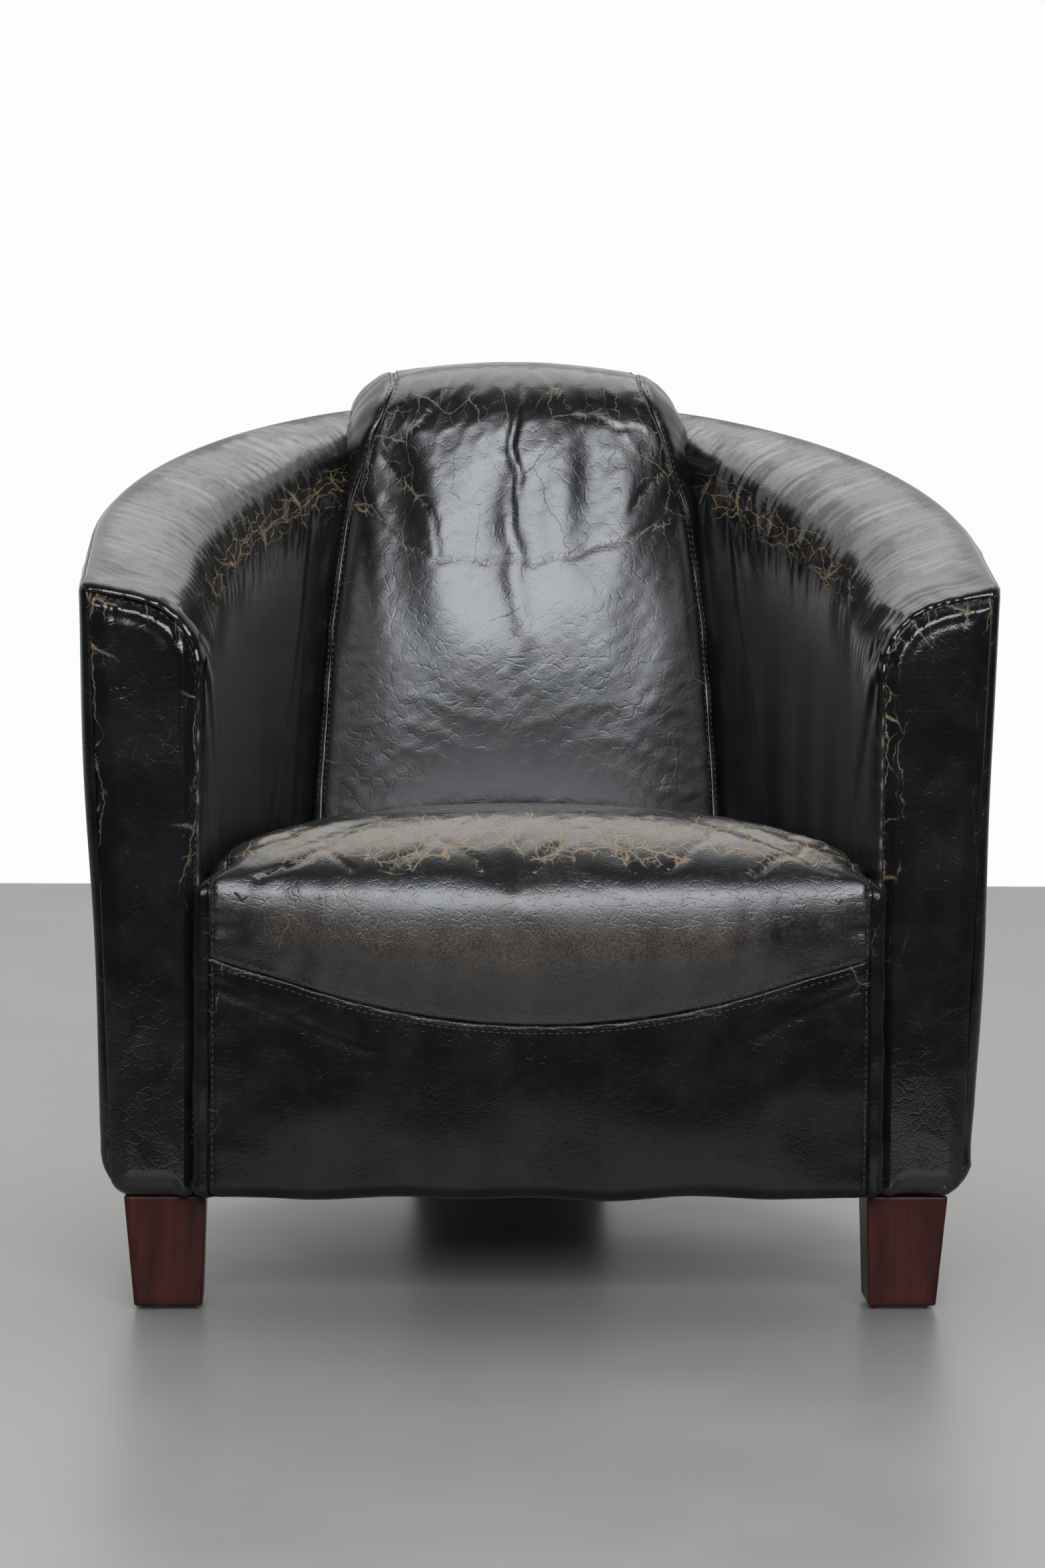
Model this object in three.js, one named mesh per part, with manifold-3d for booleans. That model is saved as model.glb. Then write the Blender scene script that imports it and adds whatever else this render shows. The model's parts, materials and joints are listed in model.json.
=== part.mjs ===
// Leather tub chair, built as an upholsterer takes it apart: a plywood and hardwood frame, sinuous seat
// springs, foam pads, leather covers sewn from panels, two tapered front legs and one broad rear foot.
// Millimetres, +Z up, +Y to the back, +X to the sitter's left, origin on the floor under the middle.

import * as THREE from "three";
import { mergeVertices } from "three/addons/utils/BufferGeometryUtils.js";
import Module from "manifold-3d";

const wasm = await Module();
wasm.setup();

// Overall sizes
const overallWidth = 718;
const overallDepth = 720;
const overallHeight = 745;
const legHeight = 92;

// Horseshoe wall: the two arms, which rise to the back
const wallThickness = 99;
const wallRearThickness = 62;
const wallLean = 18;
const armFrontHeight = 573;
const armRise = 0.2;
const armStraight = 150;
const armRoll = 62;
const seamRadius = 10;
const hemRadius = 28;
const hemReturn = 48;
const tuckHeight = 238;

// Back spine, which tapers upwards in front and downwards behind
const spineProud = 5;
const spineFrontHalf = { seat: 182, top: 152 };
const spineRearHalf = { top: 146, foot: 95 };
const spineDepth = { seat: 230, top: 175 };
const spineBulge = 16;
const spineRearLean = 15;
const spineEdge = 20;
const spineCrown = 58;
const spineShoulder = 22;
const spineSeamInset = 14;

// Seat and front apron
const seatOverhang = 25;
const seatHeight = { front: 386, rear: 356 };
const seatCrownDrop = 20;
const seatRoll = 75;
const seatRearEdge = 18;
const seatSideClearance = 1;
const seatCurveClearance = 12;
const seatSeamInset = 14;
const apronSeam = { middle: 231, side: 283 };
const apronHem = 12;

// Sheet goods and clearances
const leather = 2;
const gap = 0.3;
const armFoam = 28;
const facingPad = 12;
const backFoam = 34;
const deckSheet = 3;
const dustSheet = 1.3;

// Frame timber
const plywood = 18;
const baseHoopHeight = 22;
const baseHoopMargin = 3;
const topHoopOuter = 7;
const topHoopMargin = 1;
const postInset = 24;
const postClearance = 4.7;
const postDepth = 60;
const railThickness = 25;
const railTop = 228;
const frontRailLift = 15.7;
const rearRailHeight = 48;
const topRailHeight = 48;
const formerSpacing = 160;
const cornerBlock = { height: 50, reach: 52 };
const ribAngle = 0.75;

// Springs
const springCount = 4;
const springWire = 3.8;
const springHalfWidth = 25;
const springBars = 11;
const springLap = 12;
const clipSheet = 1.2;
const clipClearance = 0.9;
const clipWidth = 14;

// Legs
const legTop = { width: 64, depth: 64 };
const legTaper = { outer: 8, inner: 2.5, front: 3, back: 8 };
const legOuterInset = 35;
const legSetback = 8;
const rearFoot = { width: 184, depth: 64, taper: 6, setIn: 18 };
const glide = { thickness: 3, margin: 6 };
const bolt = { radius: 4, head: 9, headHeight: 4, intoLeg: 46, intoPost: 34, inset: 45, sides: 10 };

// Places that follow from the sizes above
const skin = leather + gap;
const tubHalf = overallWidth / 2;
const spineFrontY = {
  seat: overallDepth / 2 - spineDepth.seat,
  top: overallDepth / 2 - spineDepth.top,
};
const armFrontY = -overallDepth / 2 + seatOverhang;
const curveStartY = armFrontY + armStraight;
const tubReach = overallDepth / 2 - spineProud - curveStartY;
const innerHalf = tubHalf - wallThickness;
const innerReach = tubReach - wallRearThickness;
const rearShare = wallRearThickness / wallThickness;
const seatFrontY = -overallDepth / 2;
const seatHalf = innerHalf - seatSideClearance;
const seatRearY = spineFrontY.seat - gap;
const postFrontY = armFrontY + leather + facingPad + 2 * gap;
const railRearY = postFrontY + railThickness;
const springHeight = railTop + gap + springWire / 2;
const clipInnerRadius = springWire / 2 + clipClearance;
const deckBottom = springHeight + clipInnerRadius + clipSheet + gap;
const seatBottom = deckBottom + deckSheet + gap;
const baseHoopZ = legHeight + leather + gap;
const baseHoopInner = wallThickness - baseHoopMargin;
const topHoopInner = wallThickness - armRoll + topHoopMargin;
const baseHoopTop = baseHoopZ + baseHoopHeight;
const postWidth = wallThickness - skin - armFoam - postClearance - postInset;
const postInnerX = tubHalf - postInset - postWidth;
const formerInnerX = formerSpacing / 2 - plywood / 2;
const formerOuterX = formerSpacing / 2 + plywood / 2;
const rearRailBackY = spineFrontY.seat - 4;

const finishes = {
  leather: new THREE.MeshStandardMaterial({ color: 0x121314, roughness: 0.4, metalness: 0 }),
  seatLeather: new THREE.MeshStandardMaterial({ color: 0x2a221b, roughness: 0.5, metalness: 0 }),
  legWood: new THREE.MeshStandardMaterial({ color: 0x4a1a12, roughness: 0.4, metalness: 0 }),
  timber: new THREE.MeshStandardMaterial({ color: 0xb08c5c, roughness: 0.8, metalness: 0 }),
  foam: new THREE.MeshStandardMaterial({ color: 0xd9cfa8, roughness: 1, metalness: 0 }),
  cloth: new THREE.MeshStandardMaterial({ color: 0x1a1a1a, roughness: 1, metalness: 0 }),
  steel: new THREE.MeshStandardMaterial({ color: 0x8c8c8c, roughness: 0.4, metalness: 1 }),
  nylon: new THREE.MeshStandardMaterial({ color: 0x2b2b2b, roughness: 0.6, metalness: 0 }),
};

const chair = new THREE.Group();
const sides = { left: -1, right: 1 };

function addPiece(name, geometry, finish) {
  const mesh = new THREE.Mesh(geometry, finish);
  mesh.name = name;
  chair.add(mesh);
}

// Solid modelling helpers

function signedVolume(positions, triangles) {
  const corner = [new THREE.Vector3(), new THREE.Vector3(), new THREE.Vector3()];
  let volume = 0;
  for (let i = 0; i < triangles.length; i += 3) {
    corner.forEach((point, k) => point.fromArray(positions, 3 * triangles[i + k]));
    volume += corner[0].dot(corner[1].clone().cross(corner[2])) / 6;
  }
  return volume;
}

function closedGeometry(points, triangles) {
  const positions = points.flatMap((point) => [point.x, point.y, point.z]);
  const facing = signedVolume(positions, triangles) < 0 ? triangles.slice().reverse() : triangles;
  const geometry = new THREE.BufferGeometry();
  geometry.setAttribute("position", new THREE.Float32BufferAttribute(positions, 3));
  geometry.setIndex(facing);
  return geometry;
}

function flatCap(outline) {
  return THREE.ShapeUtils.triangulateShape(outline, []);
}

// Closes a convex outline by a fan from its first point.
function fanCap(outline) {
  return Array.from({ length: outline.length - 2 }, (_, i) => [0, i + 1, i + 2]);
}

// Closes a strip by rungs from its outer edge to its inner edge.
function ladderCap(outline) {
  const rungs = outline.length / 2;
  return Array.from({ length: rungs - 1 }, (_, i) => {
    const far = outline.length - 1 - i;
    return [[i, i + 1, far], [i + 1, far - 1, far]];
  }).flat();
}

// Skins a row of rings that have equal counts, each face split along its shorter diagonal, and closes
// both ends.
function loft(rings, firstCap, lastCap) {
  const count = rings[0].length;
  const points = rings.flat();
  const triangles = [];
  for (let r = 0; r + 1 < rings.length; r++) {
    for (let i = 0; i < count; i++) {
      const a = r * count + i;
      const b = r * count + ((i + 1) % count);
      const c = b + count;
      const d = a + count;
      const shorter = points[a].distanceTo(points[c]) < points[b].distanceTo(points[d]);
      triangles.push(...(shorter ? [a, b, c, a, c, d] : [a, b, d, b, c, d]));
    }
  }
  const lastStart = (rings.length - 1) * count;
  for (const [a, b, c] of firstCap) {
    triangles.push(c, b, a);
  }
  for (const [a, b, c] of lastCap) {
    triangles.push(lastStart + a, lastStart + b, lastStart + c);
  }
  return closedGeometry(points, triangles);
}

function toSolid(geometry) {
  const bare = geometry.clone();
  bare.deleteAttribute("normal");
  bare.deleteAttribute("uv");
  const merged = mergeVertices(bare, 1e-4);
  return new wasm.Manifold(
    new wasm.Mesh({
      numProp: 3,
      vertProperties: new Float32Array(merged.attributes.position.array),
      triVerts: new Uint32Array(merged.index.array),
    }),
  );
}

function toGeometry(solid) {
  const mesh = solid.getMesh();
  const geometry = new THREE.BufferGeometry();
  geometry.setAttribute("position", new THREE.BufferAttribute(mesh.vertProperties, 3));
  geometry.setIndex(new THREE.BufferAttribute(mesh.triVerts, 1));
  return geometry;
}

function cut(geometry, ...tools) {
  return toGeometry(tools.reduce((solid, tool) => solid.subtract(toSolid(tool)), toSolid(geometry)));
}

function common(geometry, tool) {
  return toGeometry(toSolid(geometry).intersect(toSolid(tool)));
}

function block(low, high) {
  const size = high.map((value, i) => value - low[i]);
  const geometry = new THREE.BoxGeometry(...size);
  return geometry.translate(...low.map((value, i) => value + size[i] / 2));
}

// An outline in the Y-Z plane, extruded along X.
function sideBoard(outline, lowX, highX) {
  const shape = new THREE.Shape(outline.map(([y, z]) => new THREE.Vector2(y, z)));
  const geometry = new THREE.ExtrudeGeometry(shape, { depth: highX - lowX, bevelEnabled: false });
  const turn = new THREE.Matrix4().set(0, 0, 1, lowX, 1, 0, 0, 0, 0, 1, 0, 0, 0, 0, 0, 1);
  return geometry.applyMatrix4(turn);
}

// An outline in the X-Z plane, extruded along Y.
function frontBoard(outline, lowY, highY) {
  const shape = new THREE.Shape(outline.map(([x, z]) => new THREE.Vector2(x, z)));
  const geometry = new THREE.ExtrudeGeometry(shape, { depth: highY - lowY, bevelEnabled: false });
  const turn = new THREE.Matrix4().set(1, 0, 0, 0, 0, 0, -1, highY, 0, 1, 0, 0, 0, 0, 0, 1);
  return geometry.applyMatrix4(turn);
}

function flatSheet(shape, lowZ, thickness, curveSegments) {
  const options = { depth: thickness, bevelEnabled: false, curveSegments };
  return new THREE.ExtrudeGeometry(shape, options).translate(0, 0, lowZ);
}

const roundCuts = [0, 0.25, 0.5, 0.75, 1];
const hemCuts = [0, 0.33, 0.67, 1];
const seamCuts = [0, 0.49, 0.51, 1];
const leastRadius = 0.4;

function corner(u, v, radius = 0, cuts = null) {
  return { at: new THREE.Vector2(u, v), radius, cuts };
}

// The outline through counter-clockwise corners, filleted and then set in by a distance.
function outlineOf(corners, inset = 0) {
  return corners.flatMap((here, i) => {
    const before = corners.at(i - 1).at;
    const after = corners[(i + 1) % corners.length].at;
    const arriving = here.at.clone().sub(before).normalize();
    const leaving = after.clone().sub(here.at).normalize();
    const arrivingNormal = new THREE.Vector2(-arriving.y, arriving.x);
    const leavingNormal = new THREE.Vector2(-leaving.y, leaving.x);
    const bisector = arrivingNormal.clone().add(leavingNormal).normalize();
    const mitre = 1 / bisector.dot(arrivingNormal);
    const tip = here.at.clone().addScaledVector(bisector, inset * mitre);
    if (!here.cuts) return [tip];
    const radius = Math.max(here.radius - inset, leastRadius);
    const centre = tip.clone().addScaledVector(bisector, radius * mitre);
    const start = Math.atan2(-arrivingNormal.y, -arrivingNormal.x);
    const turn = Math.atan2(arriving.cross(leaving), arriving.dot(leaving));
    return here.cuts.map((share) => {
      const angle = start + turn * share;
      return new THREE.Vector2(Math.cos(angle), Math.sin(angle)).multiplyScalar(radius).add(centre);
    });
  });
}

// A strip between two insets of one outline, from point `first` to point `last`.
function stripOf(corners, first, last, outerInset, innerInset) {
  const outer = outlineOf(corners, outerInset).slice(first, last + 1);
  const inner = outlineOf(corners, innerInset).slice(first, last + 1);
  return [...outer, ...inner.reverse()];
}

// Horseshoe wall

// A place along the wall: a straight run behind the arm's front, then a quarter of an ellipse.
function straightStation(y) {
  return { across: 1, along: 0, baseY: y };
}

function curveStation(angle) {
  return { across: Math.cos(angle), along: Math.sin(angle), baseY: curveStartY };
}

// The wall thins towards the back, and every depth into it thins alike.
function reachAt(depthIn) {
  return tubReach - rearShare * depthIn;
}

function wallPoint(station, side, depthIn, z) {
  const x = side * (tubHalf - depthIn) * station.across;
  return new THREE.Vector3(x, station.baseY + reachAt(depthIn) * station.along, z);
}

function armTop(y) {
  return armFrontHeight + armRise * (y - armFrontY);
}

function wallCorners(station) {
  const top = armTop(wallPoint(station, 1, 0, 0).y);
  return [
    corner(wallLean, legHeight, hemRadius, hemCuts),
    corner(hemReturn, legHeight),
    corner(wallThickness, legHeight),
    corner(wallThickness, tuckHeight),
    corner(wallThickness, top, armRoll, roundCuts),
    corner(0, top, seamRadius, seamCuts),
  ];
}

// Points of the wall's outline where its panels begin and end
const hemEnd = hemCuts.length;
const tuckPoint = hemEnd + 2;
const seamInside = tuckPoint + roundCuts.length + 2;
const seamOutside = seamInside + 1;
const wallPoints = seamInside + 3;

const curveSteps = 11;
const curveEnd = 1.45;
const wallStations = [
  straightStation(armFrontY + skin),
  ...Array.from({ length: curveSteps + 1 }, (_, i) => curveStation((curveEnd * i) / curveSteps)),
];

function wallLoft(side, outlineAt, capOf) {
  const outlines = wallStations.map((station) => outlineAt(wallCorners(station)));
  const rings = wallStations.map((station, i) =>
    outlines[i].map((point) => wallPoint(station, side, point.x, point.y)),
  );
  return loft(rings, capOf(outlines[0]), capOf(outlines.at(-1)));
}

function wallEnvelope(side) {
  return wallLoft(side, (corners) => outlineOf(corners, -gap), flatCap);
}

function armInsidePanel(side) {
  const outlineAt = (corners) => stripOf(corners, tuckPoint, seamInside, 0, leather);
  return cut(wallLoft(side, outlineAt, ladderCap), spineEnvelope(-gap, 0));
}

// The outside panel starts past the seam and runs round the outline's first point to the hem.
function armOutsidePanel(side) {
  const outlineAt = (corners) => {
    const outer = outlineOf(corners, 0);
    const inner = outlineOf(corners, leather);
    const order = [seamOutside, wallPoints - 1, ...Array(hemEnd + 1).keys()];
    return [...order.map((i) => outer[i]), ...order.reverse().map((i) => inner[i])];
  };
  return cut(wallLoft(side, outlineAt, ladderCap), spineEnvelope(-gap, 0));
}

function armFoamPad(side) {
  const outlineAt = (corners) => stripOf(corners, tuckPoint, seamInside, skin, skin + armFoam);
  return cut(wallLoft(side, outlineAt, ladderCap), spineEnvelope(-gap, 0));
}

function facingPlate(side, frontY, thickness, inset) {
  const [hem, , inner, , roll, seam] = wallCorners(straightStation(armFrontY));
  const outline = outlineOf([hem, inner, roll, seam], inset);
  const ringAt = (y) => outline.map((p) => wallPoint(straightStation(y), side, p.x, p.y));
  return loft([ringAt(frontY), ringAt(frontY + thickness)], fanCap(outline), fanCap(outline));
}

// The pad under a facing fills the space that the arm foam leaves.
function facingPadPiece(side) {
  return facingPlate(side, armFrontY + skin, facingPad, skin + armFoam);
}

// Back spine

function spineSection(z) {
  const rise = THREE.MathUtils.clamp(
    (z - seatHeight.rear) / (overallHeight - spineCrown - seatHeight.rear), 0, 1,
  );
  const fall = THREE.MathUtils.clamp((z - legHeight) / (overallHeight - spineCrown - legHeight), 0, 1);
  const bulge = spineBulge * Math.sin(Math.PI * rise);
  const frontY = THREE.MathUtils.lerp(spineFrontY.seat, spineFrontY.top, rise) - bulge;
  const rearY = overallDepth / 2 - spineRearLean * (1 - fall);
  const frontHalf = THREE.MathUtils.lerp(spineFrontHalf.seat, spineFrontHalf.top, rise);
  const rearHalf = THREE.MathUtils.lerp(spineRearHalf.foot, spineRearHalf.top, fall);
  return { frontY, rearY, frontHalf, rearHalf };
}

function spineCorners(z, narrowing) {
  const { frontY, rearY, frontHalf, rearHalf } = spineSection(z);
  const front = frontHalf - narrowing;
  const rear = rearHalf - narrowing;
  return [
    corner(-front, frontY, spineEdge, roundCuts),
    corner(front, frontY, spineEdge, roundCuts),
    corner(rear, rearY, spineEdge, roundCuts),
    corner(-rear, rearY, spineEdge, roundCuts),
  ];
}

const spineStraightSteps = 6;
const spineCrownSteps = 5;

// The whole back spine as one solid, set in by a distance. The crown closes over as a quarter round.
function spineEnvelope(inset, bottom = legHeight + leather) {
  const crown = spineCrown - inset;
  const shoulder = overallHeight - spineCrown;
  const straight = Array.from({ length: spineStraightSteps }, (_, i) => {
    const z = THREE.MathUtils.lerp(seatHeight.rear, shoulder, i / spineStraightSteps);
    return { z, shrink: 0, narrowing: 0 };
  });
  const round = Array.from({ length: spineCrownSteps + 1 }, (_, i) => {
    const angle = (Math.PI / 2) * (i / spineCrownSteps);
    const closing = 1 - Math.cos(angle);
    const z = shoulder + crown * Math.sin(angle);
    return { z, shrink: crown * closing, narrowing: spineShoulder * closing };
  });
  const levels = [{ z: bottom, shrink: 0, narrowing: 0 }, ...straight, ...round];
  const outlines = levels.map(({ z, shrink, narrowing }) =>
    outlineOf(spineCorners(Math.min(z, shoulder), narrowing), inset + shrink),
  );
  const rings = levels.map(({ z }, i) => outlines[i].map((p) => new THREE.Vector3(p.x, p.y, z)));
  return loft(rings, fanCap(outlines[0]), fanCap(outlines.at(-1)));
}

const farOut = overallHeight;
const ridgeY = spineFrontY.top + spineCrown;

// The band between the two stitched seams: one taper in front of the ridge, another behind it.
function bandWedge(lowHalf, highHalf, lowZ, lowY, highY) {
  const highZ = overallHeight - spineCrown;
  const slope = (highHalf - lowHalf) / (highZ - lowZ);
  const halfAt = (z) => lowHalf + slope * (z - lowZ) - spineSeamInset;
  const top = overallHeight + spineCrown;
  const outline = [
    [-halfAt(0), 0],
    [halfAt(0), 0],
    [halfAt(top), top],
    [-halfAt(top), top],
  ];
  return frontBoard(outline, lowY, highY);
}

function spineBand(widen) {
  const frontHalf = [spineFrontHalf.seat + widen, spineFrontHalf.top + widen];
  const rearHalf = [spineRearHalf.foot + widen, spineRearHalf.top + widen];
  const front = bandWedge(...frontHalf, seatHeight.rear, -farOut, ridgeY);
  const rear = bandWedge(...rearHalf, legHeight, ridgeY, farOut);
  return toGeometry(toSolid(front).add(toSolid(rear)));
}

function spineShell() {
  const hollow = spineEnvelope(leather, 0);
  const belowSeat = block([-farOut, -farOut, 0], [farOut, ridgeY, tuckHeight]);
  return cut(spineEnvelope(0), hollow, belowSeat);
}

function backCover() {
  return common(spineShell(), spineBand(0));
}

function backGusset(side) {
  const rest = cut(spineShell(), spineBand(2 * gap), wallEnvelope(side));
  const half = side > 0 ? block([0, -farOut, 0], [farOut, farOut, farOut + spineCrown])
    : block([-farOut, -farOut, 0], [0, farOut, farOut + spineCrown]);
  const solid = toSolid(common(rest, half));
  const bodies = solid.decompose().sort((a, b) => b.volume() - a.volume());
  return toGeometry(bodies[0]);
}

// Heights at which the back's foam and its plywood formers share their curve
function backHeights() {
  const steps = 6;
  const lowZ = tuckHeight + gap;
  const highZ = overallHeight - spineCrown;
  return Array.from({ length: steps + 1 }, (_, i) => THREE.MathUtils.lerp(lowZ, highZ, i / steps));
}

function backFoamPad() {
  const lowZ = tuckHeight + gap;
  const shoulder = overallHeight - spineCrown;
  const outline = [
    [0, lowZ],
    ...backHeights().map((z) => [spineSection(z).frontY + skin + backFoam, z]),
    [farOut, shoulder],
    [farOut, farOut + spineCrown],
    [0, farOut + spineCrown],
  ];
  return common(spineEnvelope(skin), sideBoard(outline, -farOut, farOut));
}

function backFormer(side) {
  const lowZ = legHeight + leather + 2 * gap;
  const highZ = overallHeight - spineCrown - gap;
  const front = backHeights().map((z) => {
    return [spineSection(z).frontY + skin + backFoam + gap, Math.min(z, highZ)];
  });
  const rear = [highZ, lowZ].map((z) => [spineSection(z).rearY - skin - gap, z]);
  const outline = [[rearRailBackY + gap, lowZ], [rearRailBackY + gap, railTop], ...front, ...rear];
  const lowX = side > 0 ? formerInnerX : -formerOuterX;
  return sideBoard(outline, lowX, lowX + plywood);
}

// Seat and apron

function seatCornersAt(x) {
  const share = x / seatHalf;
  const drop = seatCrownDrop * share * share;
  const wallRear = curveStartY + innerReach * Math.sqrt(Math.max(0, 1 - (x / innerHalf) ** 2));
  const rearY = Math.min(seatRearY, wallRear - seatCurveClearance);
  const rearShare = (rearY - seatFrontY) / (seatRearY - seatFrontY);
  const rearTop = THREE.MathUtils.lerp(seatHeight.front, seatHeight.rear, rearShare) - drop;
  const seamZ = THREE.MathUtils.lerp(apronSeam.middle, apronSeam.side, share * share);
  return { drop, rearY, rearTop, seamZ, apronRear: postFrontY - gap };
}

function seatCorners(x) {
  const { drop, rearY, rearTop, seamZ, apronRear } = seatCornersAt(x);
  return [
    corner(seatFrontY, legHeight, apronHem, hemCuts),
    corner(apronRear, legHeight),
    corner(apronRear, seatBottom),
    corner(rearY, seatBottom),
    corner(rearY, rearTop, seatRearEdge, roundCuts),
    corner(seatFrontY, seatHeight.front - drop, seatRoll, roundCuts),
    corner(seatFrontY, seamZ + gap / 2),
    corner(seatFrontY, seamZ - gap / 2),
  ];
}

// Points of the seat's outline where its panels begin and end
const seatRearPoint = hemCuts.length + 3;
const seamUpper = seatRearPoint + 2 * roundCuts.length;
const seamLower = seamUpper + 1;

const seatSteps = 12;
const seatSeamX = seatHalf - seatSeamInset;
const seatEndRound = seatSeamInset - skin - seatSideClearance;

function seatLoft(stations, outlineAt, capOf) {
  const outlines = stations.map(({ x, inset }) => outlineAt(seatCorners(x), inset));
  const rings = stations.map(({ x }, i) => outlines[i].map((p) => new THREE.Vector3(x, p.x, p.y)));
  return loft(rings, capOf(outlines[0]), capOf(outlines.at(-1)));
}

const middleStations = Array.from({ length: seatSteps + 1 }, (_, i) => ({
  x: THREE.MathUtils.lerp(-seatSeamX, seatSeamX, i / seatSteps),
  inset: 0,
}));

function seatCover() {
  const outlineAt = (corners) => stripOf(corners, seatRearPoint, seamUpper, 0, leather);
  return seatLoft(middleStations, outlineAt, ladderCap);
}

function frontApron() {
  const outlineAt = (corners) => {
    const outer = outlineOf(corners, 0);
    const inner = outlineOf(corners, leather);
    const order = [seamLower, ...Array(hemCuts.length + 1).keys()];
    return [...order.map((i) => outer[i]), ...order.reverse().map((i) => inner[i])];
  };
  return seatLoft(middleStations, outlineAt, ladderCap);
}

// Stations that round a seat end over, out to `endX`.
function endStations(startX, endX, round, inset) {
  const steps = 4;
  const rounded = Array.from({ length: steps + 1 }, (_, i) => {
    const angle = (Math.PI / 2) * (i / steps) * 0.8;
    return { x: endX - round + round * Math.sin(angle) / Math.sin(0.4 * Math.PI),
      inset: inset + round * (1 - Math.cos(angle)) };
  });
  return [{ x: startX, inset }, ...rounded];
}

function seatGusset(side) {
  const mirror = (stations) => stations.map(({ x, inset }) => ({ x: side * x, inset }));
  const outer = mirror(endStations(seatSeamX + gap, seatHalf, seatEndRound, 0));
  const inner = mirror(endStations(seatSeamX - 1, seatHalf - leather, seatEndRound, leather));
  return cut(seatLoft(outer, outlineOf, flatCap), seatLoft(inner, outlineOf, flatCap));
}

// The foam block lies inside the leather on every side.
function seatFoamBlock() {
  const outlineAt = (corners, inset) => {
    const front = corner(seatFrontY, seatBottom);
    return outlineOf([front, ...corners.slice(3, 6)], inset);
  };
  const right = endStations(seatSeamX, seatHalf - skin, seatEndRound, skin);
  const left = right.map(({ x, inset }) => ({ x: -x, inset })).reverse();
  const middle = middleStations.slice(1, -1).map(({ x }) => ({ x, inset: skin }));
  return seatLoft([...left, ...middle, ...right], outlineAt, flatCap);
}

function apronPad() {
  const half = seatSeamX - gap;
  const rearY = postFrontY - 2 * gap + skin;
  const highZ = seatBottom + leather + skin;
  const corners = [
    corner(seatFrontY, legHeight, apronHem, hemCuts),
    corner(rearY, legHeight),
    corner(rearY, highZ),
    corner(seatFrontY, highZ),
  ];
  return sideBoard(outlineOf(corners, skin).map(({ x, y }) => [x, y]), -half, half);
}

// Frame

// The plan of a half hoop between two depths into the wall, from the post to the back former.
function hoopShape(side, outerDepth, innerDepth, frontY) {
  const shape = new THREE.Shape();
  const outer = [tubHalf - outerDepth, reachAt(outerDepth)];
  const inner = [tubHalf - innerDepth, reachAt(innerDepth)];
  const from = side > 0 ? 0 : Math.PI;
  const clockwise = side < 0;
  shape.moveTo(side * outer[0], frontY);
  shape.lineTo(side * outer[0], curveStartY);
  shape.absellipse(0, curveStartY, ...outer, from, Math.PI / 2, clockwise);
  shape.lineTo(0, curveStartY + inner[1]);
  shape.absellipse(0, curveStartY, ...inner, Math.PI / 2, from, !clockwise);
  shape.lineTo(side * inner[0], frontY);
  shape.closePath();
  return shape;
}

const formersZone = block(
  [-formerOuterX - gap, -farOut, 0], [formerOuterX + gap, farOut, 2 * farOut],
);
const hoopSegments = 8;

function baseHoop(side) {
  const shape = hoopShape(side, wallLean + hemRadius, baseHoopInner, postFrontY);
  return cut(flatSheet(shape, baseHoopZ, baseHoopHeight, hoopSegments), formersZone, studHole(side));
}

const topHoopDrop = skin + armFoam + 2 * gap;

function armSlope(geometry) {
  const shear = new THREE.Matrix4().makeShear(0, 0, 0, armRise, 0, 0);
  return geometry.translate(0, -armFrontY, 0).applyMatrix4(shear).translate(0, armFrontY, 0);
}

function topHoop(side) {
  const shape = hoopShape(side, topHoopOuter, topHoopInner, postFrontY);
  const lowZ = armFrontHeight - topHoopDrop - plywood;
  return cut(armSlope(flatSheet(shape, lowZ, plywood, hoopSegments)), formersZone);
}

// Everything above the underside of the top hoops, as a cutter for what stands below them.
function aboveHoops() {
  const lowZ = armFrontHeight - topHoopDrop - plywood - gap;
  return armSlope(block([-farOut, -farOut, lowZ], [farOut, farOut, 2 * farOut]));
}

function frontPost(side) {
  const low = [postInnerX, postFrontY, baseHoopTop + gap];
  const high = [postInnerX + postWidth, postFrontY + postDepth, armTop(postFrontY + postDepth)];
  const upright = block(low, high);
  const placed = side > 0 ? upright : upright.applyMatrix4(new THREE.Matrix4().makeRotationZ(Math.PI))
    .translate(0, 2 * postFrontY + postDepth, 0);
  return cut(placed, aboveHoops(), studHole(side));
}

function sideRib(side) {
  const station = curveStation(ribAngle);
  const outer = wallPoint(station, side, postInset, 0);
  const inner = wallPoint(station, side, postInset + postWidth, 0);
  const board = new THREE.BoxGeometry(outer.distanceTo(inner), plywood, overallHeight);
  board.translate(0, 0, baseHoopTop + gap + overallHeight / 2);
  board.rotateZ(Math.atan2(outer.y - inner.y, outer.x - inner.x));
  board.translate((outer.x + inner.x) / 2, (outer.y + inner.y) / 2, 0);
  return cut(board, aboveHoops());
}

function frontRail() {
  const half = postInnerX - gap;
  return block([-half, postFrontY, baseHoopTop + frontRailLift], [half, railRearY, railTop]);
}

function rearSpringRail() {
  const half = spineFrontHalf.seat - spineEdge;
  const low = [-half, rearRailBackY - railThickness, railTop - rearRailHeight];
  return block(low, [half, rearRailBackY, railTop]);
}

function backTopRail() {
  const highZ = overallHeight - spineCrown - gap;
  const lowZ = highZ - topRailHeight;
  const half = formerInnerX - gap;
  const rearY = spineSection(lowZ).rearY - skin - gap;
  return block([-half, rearY - railThickness, lowZ], [half, rearY, highZ]);
}

function cornerBlockPiece(side) {
  const shape = new THREE.Shape();
  const x = postInnerX - gap;
  const y = railRearY + gap;
  shape.moveTo(side * x, y);
  shape.lineTo(side * x, y + cornerBlock.reach);
  shape.lineTo(side * (x - cornerBlock.reach), y);
  shape.closePath();
  return flatSheet(shape, baseHoopTop + gap, cornerBlock.height, 1);
}

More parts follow.
